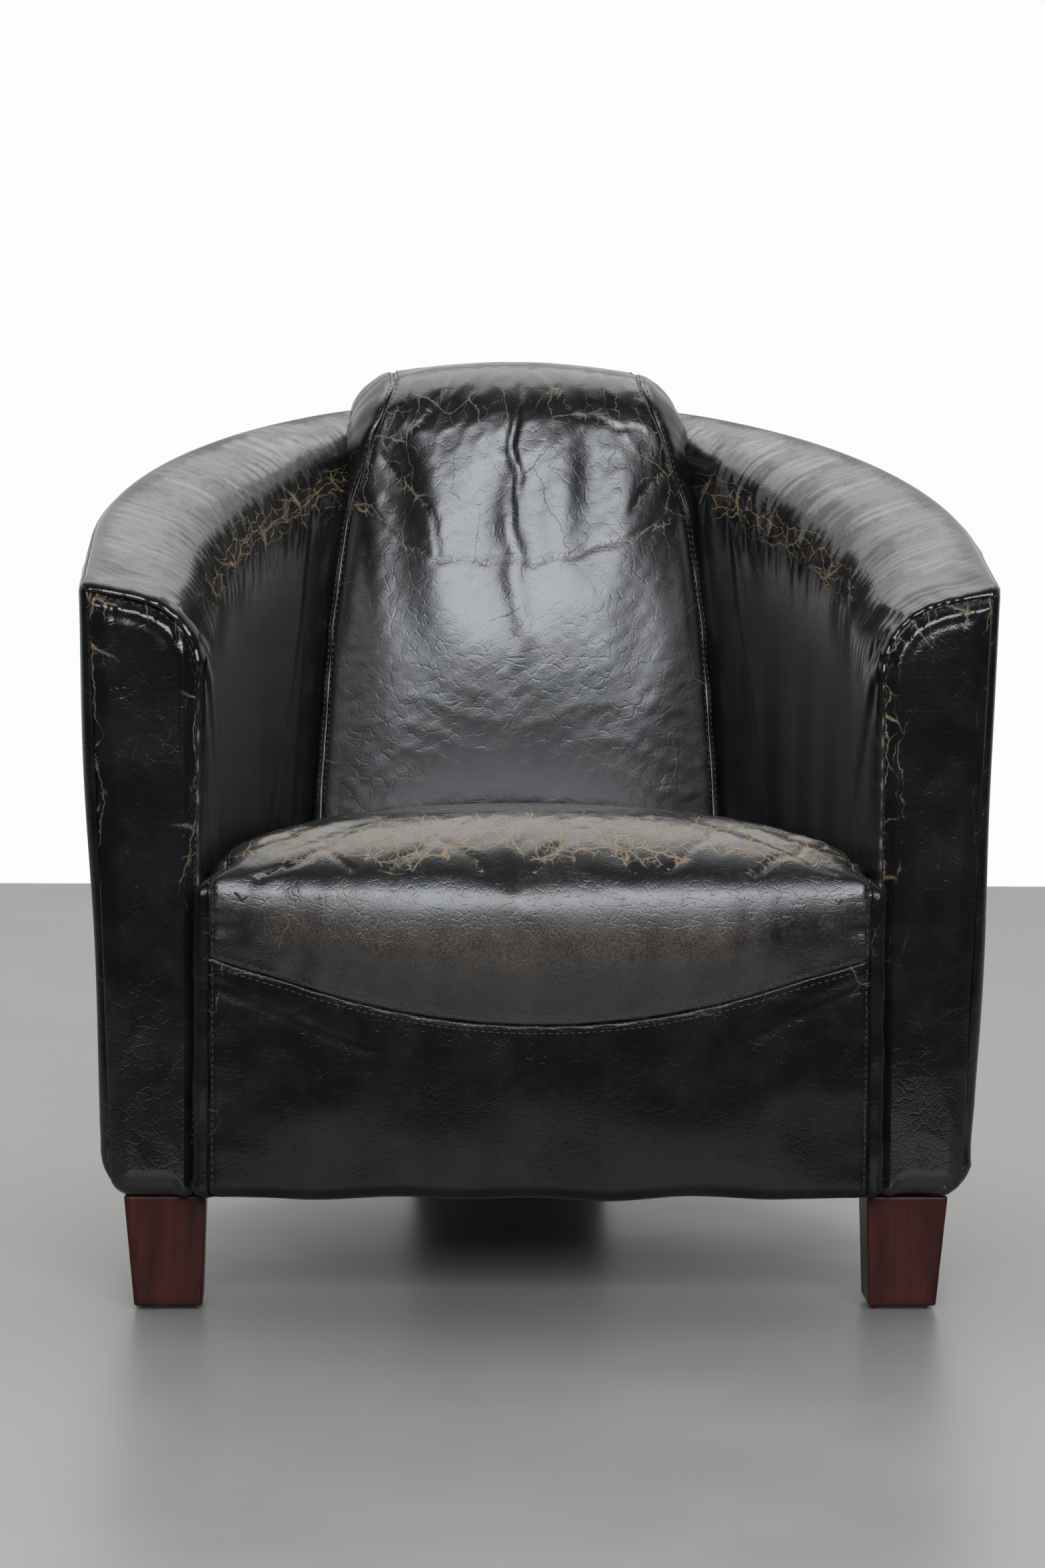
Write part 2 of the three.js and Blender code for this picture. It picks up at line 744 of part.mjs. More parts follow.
const footRearY = overallDepth / 2 - spineRearLean - rearFoot.setIn;
const footFrontY = footRearY - rearFoot.depth;
const footTopZ = legHeight + leather;

function rearBaseBlock() {
  const half = formerInnerX - gap;
  const lowZ = footTopZ + gap;
  const solid = block([-half, footFrontY, lowZ], [half, footRearY, lowZ + cornerBlock.height]);
  return cut(solid, ...[-1, 1].map(rearBoltHole));
}

// Seat springs: a meander of wire that lies on both rails, held at each end by a bent clip

class MeanderCurve extends THREE.Curve {
  constructor(x, startY, endY) {
    super();
    Object.assign(this, { x, startY, endY });
  }
  getPoint(t, target = new THREE.Vector3()) {
    const overrun = 0.3 / springBars;
    const u = THREE.MathUtils.lerp(-overrun, 1 + overrun, t);
    const length = this.endY - this.startY;
    const turn = Math.PI * springBars * u;
    const y = this.startY + length * (u - (0.9 / (2 * Math.PI * springBars)) * Math.sin(2 * turn));
    return target.set(this.x + springHalfWidth * Math.sin(turn), y, springHeight);
  }
}

const springStartY = railRearY - springLap;
const springEndY = rearRailBackY - railThickness + springLap;
const springReach = spineFrontHalf.seat - spineEdge - springHalfWidth - springWire;

function springX(i) {
  return THREE.MathUtils.lerp(-springReach, springReach, i / (springCount - 1));
}

function seatSpring(i) {
  const circle = new THREE.Shape().absarc(0, 0, springWire / 2, 0, 2 * Math.PI);
  const path = new MeanderCurve(springX(i), springStartY, springEndY);
  const options = { steps: 6 * springBars, curveSegments: 3, extrudePath: path, bevelEnabled: false };
  return new THREE.ExtrudeGeometry(circle, options);
}

// A clip is a strip that lies on the rail, rises over the wire and comes down on its other side.
function springClip(i, wireY, inward) {
  const outerRadius = clipInnerRadius + clipSheet;
  const steps = 5;
  const arc = (radius) => Array.from({ length: steps + 1 }, (_, k) => {
    const angle = (Math.PI * k) / steps;
    return [radius * Math.cos(angle), springHeight + radius * Math.sin(angle)];
  });
  const footZ = railTop + gap / 2;
  const footReach = outerRadius + 2 * clipSheet;
  const profile = [
    [footReach, footZ],
    [footReach, footZ + clipSheet],
    [outerRadius, footZ + clipSheet],
    ...arc(outerRadius),
    [-outerRadius, footZ],
    [-clipInnerRadius, footZ],
    ...arc(clipInnerRadius).reverse(),
    [clipInnerRadius, footZ],
  ];
  const placed = profile.map(([y, z]) => [wireY - inward * y, z]);
  const outline = inward > 0 ? placed.reverse() : placed;
  return sideBoard(outline, springX(i) - clipWidth / 2, springX(i) + clipWidth / 2);
}

// Plan of the seat deck and the dust cover: the wall's own curve, cut off straight at the back.
function underSheet(depthIn, frontY, rearY) {
  const reach = [tubHalf - depthIn, reachAt(depthIn)];
  const end = Math.asin(Math.min(1, (rearY - curveStartY) / reach[1]));
  const shape = new THREE.Shape();
  shape.moveTo(reach[0], frontY);
  shape.lineTo(reach[0], curveStartY);
  shape.absellipse(0, curveStartY, ...reach, 0, end, false);
  shape.lineTo(-reach[0] * Math.cos(end), curveStartY + reach[1] * Math.sin(end));
  shape.absellipse(0, curveStartY, ...reach, Math.PI - end, Math.PI, false);
  shape.lineTo(-reach[0], frontY);
  shape.closePath();
  return shape;
}

const deckMargin = 4;

function seatDeck() {
  const rearY = rearRailBackY;
  const shape = underSheet(wallThickness + deckMargin, postFrontY, rearY);
  return flatSheet(shape, deckBottom, deckSheet, hoopSegments);
}

function dustCover() {
  const shape = underSheet(hemReturn + deckMargin, postFrontY + deckMargin, footFrontY - deckMargin);
  const sheet = flatSheet(shape, legHeight + gap, dustSheet, hoopSegments);
  return cut(sheet, ...Object.values(sides).map(studHole));
}

// Legs, foot, bolts and glides

const legInnerFace = tubHalf - legOuterInset - legTop.width;
const studX = legInnerFace + bolt.inset;
const legFrontY = armFrontY + legSetback;
const legMiddleY = legFrontY + legTop.depth / 2;
const legTopZ = legHeight - gap;

function boltShaft(x, y, radius, lowZ, highZ) {
  const shaft = new THREE.CylinderGeometry(radius, radius, highZ - lowZ, bolt.sides);
  return shaft.rotateX(Math.PI / 2).translate(x, y, (lowZ + highZ) / 2);
}

// A headless stud ties each front leg to the post above it.
function studHole(side) {
  const lowZ = legTopZ - bolt.intoLeg - gap;
  const highZ = baseHoopTop + bolt.intoPost + gap;
  return boltShaft(side * studX, legMiddleY, bolt.radius + gap, lowZ, highZ);
}

function legStud(side) {
  const lowZ = legTopZ - bolt.intoLeg;
  return boltShaft(side * studX, legMiddleY, bolt.radius, lowZ, baseHoopTop + bolt.intoPost);
}

const footBoltX = rearFoot.width / 4;
const footMiddleY = (footFrontY + footRearY) / 2;

function rearBoltHole(side) {
  const x = side * footBoltX;
  const lowZ = footTopZ - bolt.intoLeg - gap;
  return boltShaft(x, footMiddleY, bolt.radius + gap, lowZ, footTopZ + 2 * cornerBlock.height);
}

function rearBolt(side) {
  const x = side * footBoltX;
  const headLow = footTopZ + cornerBlock.height + 2 * gap;
  const shaft = boltShaft(x, footMiddleY, bolt.radius, footTopZ - bolt.intoLeg, headLow + gap);
  const head = boltShaft(x, footMiddleY, bolt.head, headLow, headLow + bolt.headHeight);
  return toGeometry(toSolid(shaft).add(toSolid(head)));
}

// A four-sided block between a top and a bottom rectangle, each given as [lowX, lowY, highX, highY].
function taperedBlock(top, bottom, topZ, bottomZ) {
  const ring = ([lowX, lowY, highX, highY], z) => [
    new THREE.Vector3(lowX, lowY, z),
    new THREE.Vector3(highX, lowY, z),
    new THREE.Vector3(highX, highY, z),
    new THREE.Vector3(lowX, highY, z),
  ];
  const rings = [ring(bottom, bottomZ), ring(top, topZ)];
  const [low, high] = rings.map((points) => points.map((p) => new THREE.Vector2(p.x, p.y)));
  return loft(rings, fanCap(low), fanCap(high));
}

function legFootprint() {
  const outerX = legInnerFace + legTop.width - legTaper.outer;
  const rearY = legFrontY + legTop.depth - legTaper.back;
  return [legInnerFace + legTaper.inner, legFrontY + legTaper.front, outerX, rearY];
}

function mirrored([lowX, lowY, highX, highY], side) {
  return side > 0 ? [lowX, lowY, highX, highY] : [-highX, lowY, -lowX, highY];
}

function frontLeg(side) {
  const top = [legInnerFace, legFrontY, legInnerFace + legTop.width, legFrontY + legTop.depth];
  const rectangles = [top, legFootprint()].map((rectangle) => mirrored(rectangle, side));
  return cut(taperedBlock(...rectangles, legTopZ, glide.thickness + gap), studHole(side));
}

function footFootprint() {
  const half = rearFoot.width / 2 - rearFoot.taper;
  return [-half, footFrontY + rearFoot.taper, half, footRearY - rearFoot.taper];
}

function rearFootBlock() {
  const half = rearFoot.width / 2;
  const top = [-half, footFrontY, half, footRearY];
  const solid = taperedBlock(top, footFootprint(), footTopZ, glide.thickness + gap);
  return cut(solid, ...[-1, 1].map(rearBoltHole));
}

function glidePad([lowX, lowY, highX, highY]) {
  const m = glide.margin;
  return block([lowX + m, lowY + m, 0], [highX - m, highY - m, glide.thickness]);
}

// Assembly

for (const [name, side] of Object.entries(sides)) {
  addPiece(`${name}_arm_inside_panel`, armInsidePanel(side), finishes.leather);
  addPiece(`${name}_arm_outside_panel`, armOutsidePanel(side), finishes.leather);
  addPiece(`${name}_arm_facing`, facingPlate(side, armFrontY, leather, 0), finishes.leather);
  addPiece(`${name}_arm_foam`, armFoamPad(side), finishes.foam);
  addPiece(`${name}_facing_pad`, facingPadPiece(side), finishes.foam);
  addPiece(`${name}_back_gusset`, backGusset(side), finishes.leather);
  addPiece(`${name}_seat_gusset`, seatGusset(side), finishes.leather);
  addPiece(`${name}_base_hoop`, baseHoop(side), finishes.timber);
  addPiece(`${name}_top_hoop`, topHoop(side), finishes.timber);
  addPiece(`${name}_front_post`, frontPost(side), finishes.timber);
  addPiece(`${name}_side_rib`, sideRib(side), finishes.timber);
  addPiece(`${name}_back_former`, backFormer(side), finishes.timber);
  addPiece(`${name}_corner_block`, cornerBlockPiece(side), finishes.timber);
  addPiece(`${name}_front_leg`, frontLeg(side), finishes.legWood);
  addPiece(`${name}_leg_stud`, legStud(side), finishes.steel);
  addPiece(`${name}_leg_glide`, glidePad(mirrored(legFootprint(), side)), finishes.nylon);
  addPiece(`${name}_foot_bolt`, rearBolt(side), finishes.steel);
}

addPiece("back_cover", backCover(), finishes.leather);
addPiece("back_foam", backFoamPad(), finishes.foam);
addPiece("back_top_rail", backTopRail(), finishes.timber);
addPiece("seat_cover", seatCover(), finishes.seatLeather);
addPiece("front_apron", frontApron(), finishes.leather);
addPiece("seat_foam", seatFoamBlock(), finishes.foam);
addPiece("apron_pad", apronPad(), finishes.foam);
addPiece("front_rail", frontRail(), finishes.timber);
addPiece("rear_spring_rail", rearSpringRail(), finishes.timber);
addPiece("rear_base_block", rearBaseBlock(), finishes.timber);
addPiece("seat_deck", seatDeck(), finishes.cloth);
addPiece("dust_cover", dustCover(), finishes.cloth);
addPiece("rear_foot", rearFootBlock(), finishes.legWood);
addPiece("rear_glide", glidePad(footFootprint()), finishes.nylon);

for (let i = 0; i < springCount; i++) {
  addPiece(`seat_spring_${i + 1}`, seatSpring(i), finishes.steel);
  addPiece(`front_spring_clip_${i + 1}`, springClip(i, springStartY, 1), finishes.steel);
  addPiece(`rear_spring_clip_${i + 1}`, springClip(i, springEndY, -1), finishes.steel);
}

export default chair;
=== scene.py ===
import json
import math
import bpy
import numpy as np
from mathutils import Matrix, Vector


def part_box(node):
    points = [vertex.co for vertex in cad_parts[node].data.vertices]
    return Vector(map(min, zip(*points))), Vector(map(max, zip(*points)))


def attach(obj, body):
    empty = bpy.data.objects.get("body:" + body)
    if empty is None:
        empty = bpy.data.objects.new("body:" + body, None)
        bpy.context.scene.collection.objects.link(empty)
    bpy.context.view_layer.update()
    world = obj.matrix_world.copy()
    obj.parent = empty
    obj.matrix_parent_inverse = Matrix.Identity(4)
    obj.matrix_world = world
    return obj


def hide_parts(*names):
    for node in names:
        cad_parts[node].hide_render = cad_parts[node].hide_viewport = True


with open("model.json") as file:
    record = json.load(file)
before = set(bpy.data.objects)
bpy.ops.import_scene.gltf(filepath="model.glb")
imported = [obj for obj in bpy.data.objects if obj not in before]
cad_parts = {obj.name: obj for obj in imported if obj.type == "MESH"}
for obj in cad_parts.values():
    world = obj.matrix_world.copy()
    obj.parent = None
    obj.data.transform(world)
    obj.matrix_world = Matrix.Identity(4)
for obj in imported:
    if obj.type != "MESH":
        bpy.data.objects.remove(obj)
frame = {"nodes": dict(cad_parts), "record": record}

scene = bpy.context.scene
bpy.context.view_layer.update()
sides = {"left": -1, "right": 1}
print("frame loaded:", len(frame["nodes"]), "nodes")


# small helpers for shapes

def ramp(low, high, x):  # 0 below low, 1 above high, smooth between
    t = np.clip((x - low) / (high - low), 0, 1)
    return t * t * (3 - 2 * t)


def hill(x, middle, width):
    return np.exp(-((x - middle) / width) ** 2)


def mixed(a, b, share):
    return a + (b - a) * share


def waves(seed, count, *axes):  # seeded sum of sines, axes measured in wavelengths
    rng = np.random.default_rng(seed)
    total = 0
    for _ in range(count):
        turn = rng.uniform(0.4, 1.3, len(axes)) * rng.choice([-1, 1], len(axes))
        phase = rng.uniform(0, 2 * math.pi)
        total = total + np.sin(2 * math.pi * sum(a * t for a, t in zip(axes, turn)) + phase)
    return total / math.sqrt(count)


def folds(seed, count, *axes):  # like waves, with narrow valleys as creased hide has
    return 1 - 2 * np.abs(waves(seed, count, *axes)) ** 0.6


def valley(x, y, path, width):  # 1 on a crease drawn through the points of path, 0 away from it
    near = np.full(np.broadcast(x, y).shape, 1e9)
    for (ax, ay), (bx, by) in zip(path, path[1:]):
        length = (bx - ax) ** 2 + (by - ay) ** 2
        t = np.clip(((x - ax) * (bx - ax) + (y - ay) * (by - ay)) / length, 0, 1)
        near = np.minimum(near, np.hypot(x - ax - t * (bx - ax), y - ay - t * (by - ay)))
    return np.exp(-(near / width) ** 2)


def dent(x, z, path, width):  # a soft upright valley along path, listed from its top, that fades at both ends
    across, height = np.array(path).T
    middle = np.interp(z, height[::-1], across[::-1])
    reach = ramp(height[-1] - 0.05, height[-1] + 0.03, z) * (1 - ramp(height[0] - 0.03, height[0] + 0.05, z))
    return np.exp(-((x - middle) / width) ** 2) * reach


class Profile:  # a line of straight runs with rounded corners, read by its length
    def __init__(self, points, radii, step=0.001):
        corners = [np.array(p, float) for p in points]
        path = [corners[0]]
        for a, b, c, radius in zip(corners, corners[1:], corners[2:], radii):
            before = (a - b) / np.linalg.norm(a - b)
            after = (c - b) / np.linalg.norm(c - b)
            half = math.acos(np.clip(before @ after, -1, 1)) / 2
            middle = (before + after) / np.linalg.norm(before + after)
            centre = b + middle * radius / math.sin(half)
            start = b + before * radius / math.tan(half) - centre
            end = b + after * radius / math.tan(half) - centre
            sweep = math.pi - 2 * half
            for f in np.linspace(0, 1, 33):
                blend = math.sin((1 - f) * sweep) * start + math.sin(f * sweep) * end
                path.append(centre + blend / math.sin(sweep))
        path.append(corners[-1])
        path = np.array(path)
        run = np.concatenate([[0], np.cumsum(np.linalg.norm(np.diff(path, axis=0), axis=1))])
        self.length = run[-1]
        self.run = np.linspace(0, self.length, int(self.length / step))
        self.first = np.interp(self.run, run, path[:, 0])
        self.second = np.interp(self.run, run, path[:, 1])
        slope = np.hypot(np.gradient(self.first), np.gradient(self.second))
        self.firstOut = np.gradient(self.second) / slope * -1
        self.secondOut = np.gradient(self.first) / slope

    def at(self, s):
        return np.interp(s, self.run, self.first), np.interp(s, self.run, self.second)

    def outward(self, s):
        return np.interp(s, self.run, self.firstOut), np.interp(s, self.run, self.secondOut)


def edged(count, crowd=0.6):  # 0 to 1, with more rows near both ends, where the seams are
    t = np.linspace(0, 1, count)
    return t - crowd * np.sin(2 * math.pi * t) / (2 * math.pi)


def field(across, along):  # u and v over a panel
    return np.meshgrid(across, along)


def rawNormals(grid):  # unit normals of a panel, on the side that its rows and columns give
    normal = np.cross(np.gradient(grid, axis=1), np.gradient(grid, axis=0))
    normal /= np.maximum(np.linalg.norm(normal, axis=2, keepdims=True), 1e-12)
    return normal


def normalsOf(grid, hint):  # unit normals of a panel, on the side that hint points to
    normal = rawNormals(grid)
    return normal if (normal @ np.array(hint)).mean() > 0 else -normal


def pushed(grid, hint, amount):
    return grid + normalsOf(grid, hint) * np.asarray(amount)[..., None]


def only(piece):
    bpy.ops.object.select_all(action="DESELECT")
    piece.select_set(True)
    bpy.context.view_layer.objects.active = piece


def coordsOf(mesh):
    co = np.zeros(len(mesh.vertices) * 3, np.float32)
    mesh.vertices.foreach_get("co", co)
    return co.reshape(-1, 3).astype(float)


def setCoords(piece, co):
    piece.data.vertices.foreach_set("co", np.asarray(co, np.float32).ravel())
    piece.data.update()


def panelMesh(name, grid, hint):  # a grid primitive laid over the panel's points
    rows, columns = grid.shape[:2]
    bpy.ops.object.select_all(action="DESELECT")
    bpy.ops.mesh.primitive_grid_add(x_subdivisions=columns - 1, y_subdivisions=rows - 1, size=1)
    piece = bpy.context.object
    piece.name = name
    piece.data.name = name
    flat = coordsOf(piece.data)
    column = np.rint((flat[:, 0] + 0.5) * (columns - 1)).astype(int)
    row = np.rint((flat[:, 1] + 0.5) * (rows - 1)).astype(int)
    order = row * columns + column
    setCoords(piece, grid.reshape(-1, 3)[order])
    if (rawNormals(grid) @ np.array(hint)).mean() < 0:
        bpy.ops.object.mode_set(mode="EDIT")
        bpy.ops.mesh.select_all(action="SELECT")
        bpy.ops.mesh.flip_normals()
        bpy.ops.object.mode_set(mode="OBJECT")
    bpy.ops.object.shade_smooth()
    return piece, order


def refined(move, rows, columns, shape):  # coarse movement carried to all rows and columns, then smoothed
    wide = np.stack([[np.interp(range(shape[1]), columns, line) for line in move[..., a]] for a in range(3)], -1)
    full = np.stack([[np.interp(range(shape[0]), rows, line) for line in wide[..., a].T] for a in range(3)], -1)
    full = full.transpose(1, 0, 2)
    for _ in range(3):
        inner = full[1:-1, 1:-1]
        around = full[:-2, 1:-1] + full[2:, 1:-1] + full[1:-1, :-2] + full[1:-1, 2:]
        full[1:-1, 1:-1] = mixed(inner, around / 4, 0.6)
    return full


def inflated(name, grid, hint, hold, padding):  # cloth pressure on a panel sewn down where hold is 1
    rows, columns = [np.unique(np.append(np.arange(0, n, 2), n - 1)) for n in grid.shape[:2]]
    coarse = grid[np.ix_(rows, columns)]
    piece, order = panelMesh(name + "Cloth", coarse, hint)
    group = piece.vertex_groups.new(name="sewn")
    shares = np.round(hold[np.ix_(rows, columns)].ravel()[order], 2)
    for share in np.unique(shares[shares > 0]):
        group.add([int(i) for i in np.nonzero(shares == share)[0]], float(share), "REPLACE")
    cloth = piece.modifiers.new("padding", "CLOTH")
    made = cloth.settings
    made.quality = 5
    made.mass = padding["mass"]
    made.tension_stiffness = padding["stiffness"]
    made.compression_stiffness = padding["stiffness"]
    made.shear_stiffness = padding["stiffness"] / 3
    made.bending_stiffness = padding["bending"]
    made.vertex_group_mass = "sewn"
    made.use_pressure = True
    made.uniform_pressure_force = padding["pressure"]
    made.shrink_min = padding["shrink"]
    made.effector_weights.gravity = 0
    cloth.collision_settings.use_collision = False
    cloth.point_cache.frame_start = 1
    cloth.point_cache.frame_end = padding["frames"]
    for f in range(1, padding["frames"] + 1):
        scene.frame_set(f)
    seen = piece.evaluated_get(bpy.context.evaluated_depsgraph_get())
    moved = np.zeros_like(coarse.reshape(-1, 3))
    moved[order] = coordsOf(seen.data)
    move = moved.reshape(coarse.shape) - coarse
    far = np.linalg.norm(move, axis=2, keepdims=True)
    move *= padding["cap"] * np.tanh(far / padding["cap"]) / np.maximum(far, 1e-9)
    only(piece)
    bpy.ops.object.delete()
    scene.frame_set(1)
    most, mean = (round(float(value) * 1000, 1) for value in (far.max(), far.mean()))
    print(name, "padding moved", most, "mm at most,", mean, "on average")
    return grid + refined(move, rows, columns, grid.shape[:2])


def paint(piece, order, across, along, **maps):  # lengths over the hide as its UV map, and wear, dust and painted-sheen maps as attributes
    corner = np.zeros(len(piece.data.loops), np.int32)
    piece.data.loops.foreach_get("vertex_index", corner)
    flat = np.stack([across.ravel()[order], along.ravel()[order]], -1)
    piece.data.uv_layers.active.data.foreach_set("uv", flat[corner].astype(np.float32).ravel())
    for label, amount in maps.items():
        layer = piece.data.attributes.new(label, "FLOAT", "POINT")
        layer.data.foreach_set("value", np.clip(amount, 0, 1).astype(np.float32).ravel()[order])


def lengthAcross(grid):  # length over the panel from its first column
    step = np.linalg.norm(np.diff(grid, axis=1), axis=2)
    return np.concatenate([np.zeros((len(grid), 1)), np.cumsum(step, axis=1)], axis=1)


def backed(piece, order, thickness, share=None):  # gives the panel its padding behind it
    thick = piece.modifiers.new("padding", "SOLIDIFY")
    thick.thickness = thickness
    thick.offset = -1
    if share is not None:
        group = piece.vertex_groups.new(name="depth")
        amounts = np.round(share.ravel()[order], 2)
        for amount in np.unique(amounts):
            group.add([int(i) for i in np.nonzero(amounts == amount)[0]], float(amount), "REPLACE")
        thick.vertex_group = "depth"
        thick.thickness_vertex_group = 0.02
    only(piece)
    bpy.ops.object.modifier_apply(modifier=thick.name)


def fitted(piece, look, nodes):
    piece.data.materials.clear()
    piece.data.materials.append(look)
    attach(piece, "root")
    if nodes:
        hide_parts(*nodes)


# shader nodes as expressions

class Wire:
    def __init__(self, tree, socket=None):
        self.tree = tree
        self.socket = socket

    def node(self, kind, settings=None, links=None, out=0):
        made = self.tree.nodes.new("ShaderNode" + kind)
        for label, value in (settings or {}).items():
            if label == "stops":
                for _ in range(len(value) - 2):
                    made.color_ramp.elements.new(0.5)
                for element, (place, tint) in zip(made.color_ramp.elements, value):
                    element.position = place
                    element.color = (*tint, 1)
            else:
                setattr(made, label, value)
        for label, value in (links or {}).items():
            if isinstance(value, Wire):
                self.tree.links.new(value.socket, made.inputs[label])
            elif isinstance(value, tuple) and len(value) == 3 and made.inputs[label].type == "RGBA":
                made.inputs[label].default_value = (*value, 1)
            else:
                made.inputs[label].default_value = value
        return Wire(self.tree, made.outputs[out] if len(made.outputs) else None)

    def maths(self, operation, *values):
        return self.node("Math", {"operation": operation}, dict(enumerate(values)))

    def __add__(self, other):
        return self.maths("ADD", self, other)

    def __sub__(self, other):
        return self.maths("SUBTRACT", self, other)

    def __rsub__(self, other):
        return self.maths("SUBTRACT", other, self)

    def __mul__(self, other):
        return self.maths("MULTIPLY", self, other)

    def limited(self, low, high, start=0.0, end=1.0):  # smooth step of a value
        settings = {"interpolation_type": "SMOOTHSTEP"}
        return self.node("MapRange", settings, {0: self, 1: low, 2: high, 3: start, 4: end})

    def blended(self, first, second):  # colour mixed by this value
        settings = {"data_type": "RGBA"}
        return self.node("Mix", settings, {0: self, 6: first, 7: second}, out=2)


def newLook(name, onHide=False):
    look = bpy.data.materials.new(name)
    look.use_nodes = True
    tree = look.node_tree
    tree.nodes.clear()
    wire = Wire(tree)
    place = wire.node("TexCoord", out=2 if onHide else 3)
    return look, wire, place


def noise(wire, place, scale, detail=3.0, roughness=0.5, stretch=None, flat="3D"):
    if stretch:
        place = wire.node("Mapping", None, {"Vector": place, "Scale": stretch})
    links = {"Vector": place, "Scale": scale, "Detail": detail, "Roughness": roughness}
    return wire.node("TexNoise", {"noise_dimensions": flat}, links)


def warped(wire, place, scale, amount, flat="3D"):  # bends a pattern so that its lines wander
    links = {"Vector": place, "Scale": scale, "Detail": 2.0}
    drift = wire.node("TexNoise", {"noise_dimensions": flat}, links, out=1)
    drift = wire.node("VectorMath", {"operation": "SUBTRACT"}, {0: drift, 1: (0.5, 0.5, 0.5)})
    drift = wire.node("VectorMath", {"operation": "SCALE"}, {0: drift, "Scale": amount})
    return wire.node("VectorMath", {"operation": "ADD"}, {0: place, 1: drift})


def cracksOf(wire, place, cell, width):  # 1 on the edges of cells of that size, in metres
    settings = {"feature": "DISTANCE_TO_EDGE", "voronoi_dimensions": "2D"}
    edge = wire.node("TexVoronoi", settings, {"Vector": place, "Scale": 1 / cell, "Randomness": 1.0})
    return edge.limited(0.0, width * (1 / cell), 1.0, 0.0)


def finishLook(wire, colour, rough, normal, **fixed):
    links = {"Base Color": colour, "Roughness": rough, "Normal": normal}
    for label, value in fixed.items():
        links[label] = value
    shader = wire.node("BsdfPrincipled", None, links)
    wire.node("OutputMaterial", None, {"Surface": shader})


# leather colours; the pale grey is partly dust and partly a painted sheen, standing in for the grazing reflection of
# the pale room on the arm tops
leatherTints = {
    "black": (0.0058, 0.0060, 0.0066), "scuffed": (0.0105, 0.0105, 0.0104), "tan": (0.34, 0.235, 0.125),
    "hairline": (0.13, 0.118, 0.096), "brown": (0.076, 0.056, 0.041), "dust": (0.21, 0.206, 0.19),
}


def leatherLook(name, wear):
    look, wire, hide = newLook(name, True)
    cracked = wire.node("Attribute", {"attribute_name": "cracked"}, out=2)
    rubbed = wire.node("Attribute", {"attribute_name": "rubbed"}, out=2)
    dusty = wire.node("Attribute", {"attribute_name": "dusty"}, out=2)
    wander = warped(wire, hide, 30.0, 0.016, "2D")
    tremble = warped(wire, wander, 190.0, 0.0035, "2D")
    drawn = wire.node("Mapping", None, {"Vector": tremble, "Scale": wear["stretch"]})  # long cells along the arms
    patch = noise(wire, hide, 21.0, 4.0, 0.62, None, "2D")
    fine = noise(wire, hide, 520.0, 2.0, 0.6, None, "2D")
    spread = noise(wire, hide, 75.0, 3.0, 0.6, None, "2D")
    gape = cracked * cracked * 1.3 + 0.3
    longCracks = cracksOf(wire, drawn, wear["longCell"], gape * wear["longLine"])
    midCracks = cracksOf(wire, drawn, wear["midCell"], gape * wear["midLine"])
    netCracks = cracksOf(wire, tremble, wear["netCell"], gape * wear["netLine"])
    openLong = longCracks * (cracked * 1.2 + patch - 0.9).limited(0.0, 0.3)
    openMid = midCracks * (cracked * 1.1 + spread * 0.7 + patch * 0.5 - 1.12).limited(0.0, 0.3)
    openNet = netCracks * (cracked * 1.1 + spread * 0.9 + patch * 0.3 - 1.3).limited(0.0, 0.3, 0.0, wear["net"])
    opened = openLong.maths("MAXIMUM", openLong, openMid.maths("MAXIMUM", openMid, openNet))
    opened = opened * (fine * 1.3 + spread - 0.45)
    grain = wire.node("TexVoronoi", {"voronoi_dimensions": "2D"}, {"Vector": wander, "Scale": 620.0})
    worn = (rubbed + patch * 0.9 + spread * 0.6 + fine * 0.6 - 1.4).limited(-0.15, 0.95)
    worn = worn * (1.0 - grain.limited(0.2, 0.7) * 0.6)
    # pale grey where this mask is high: partly dust, partly a painted sheen in place of the room's reflection
    dustSheenCover = (dusty + patch * 0.7 + fine * 0.5 + spread * 0.6 - 1.2).limited(0.0, 0.8)
    colour = patch.limited(0.35, 0.7).blended(leatherTints["black"], leatherTints["scuffed"])
    colour = (dustSheenCover * wear["dust"]).blended(colour, leatherTints["dust"])
    colour = (worn * wear["rub"]).blended(colour, leatherTints["brown"])
    raw = cracked.limited(0.35, 0.75).blended(leatherTints["hairline"], leatherTints["tan"])
    colour = (opened * wear["tan"]).blended(colour, raw)
    dull = wire.node("Attribute", {"attribute_name": "dull"}, out=2)
    rough = patch * 0.06 + fine * 0.07 + wear["rough"] + worn * 0.14 + opened * 0.4 + dustSheenCover * 0.08 + dull * 0.25
    creases = cracksOf(wire, tremble, wear["creaseCell"], wear["creaseCell"] * 0.18) * spread.limited(0.35, 0.65)
    relief = grain * 0.28 + fine * 0.2 - creases * 0.5 - opened * 0.8
    bump = wire.node("Bump", None, {"Strength": wear["bump"], "Distance": 0.0004, "Height": relief})
    finishLook(wire, colour, rough, bump, **{"Specular IOR Level": wear["shine"]})
    return look


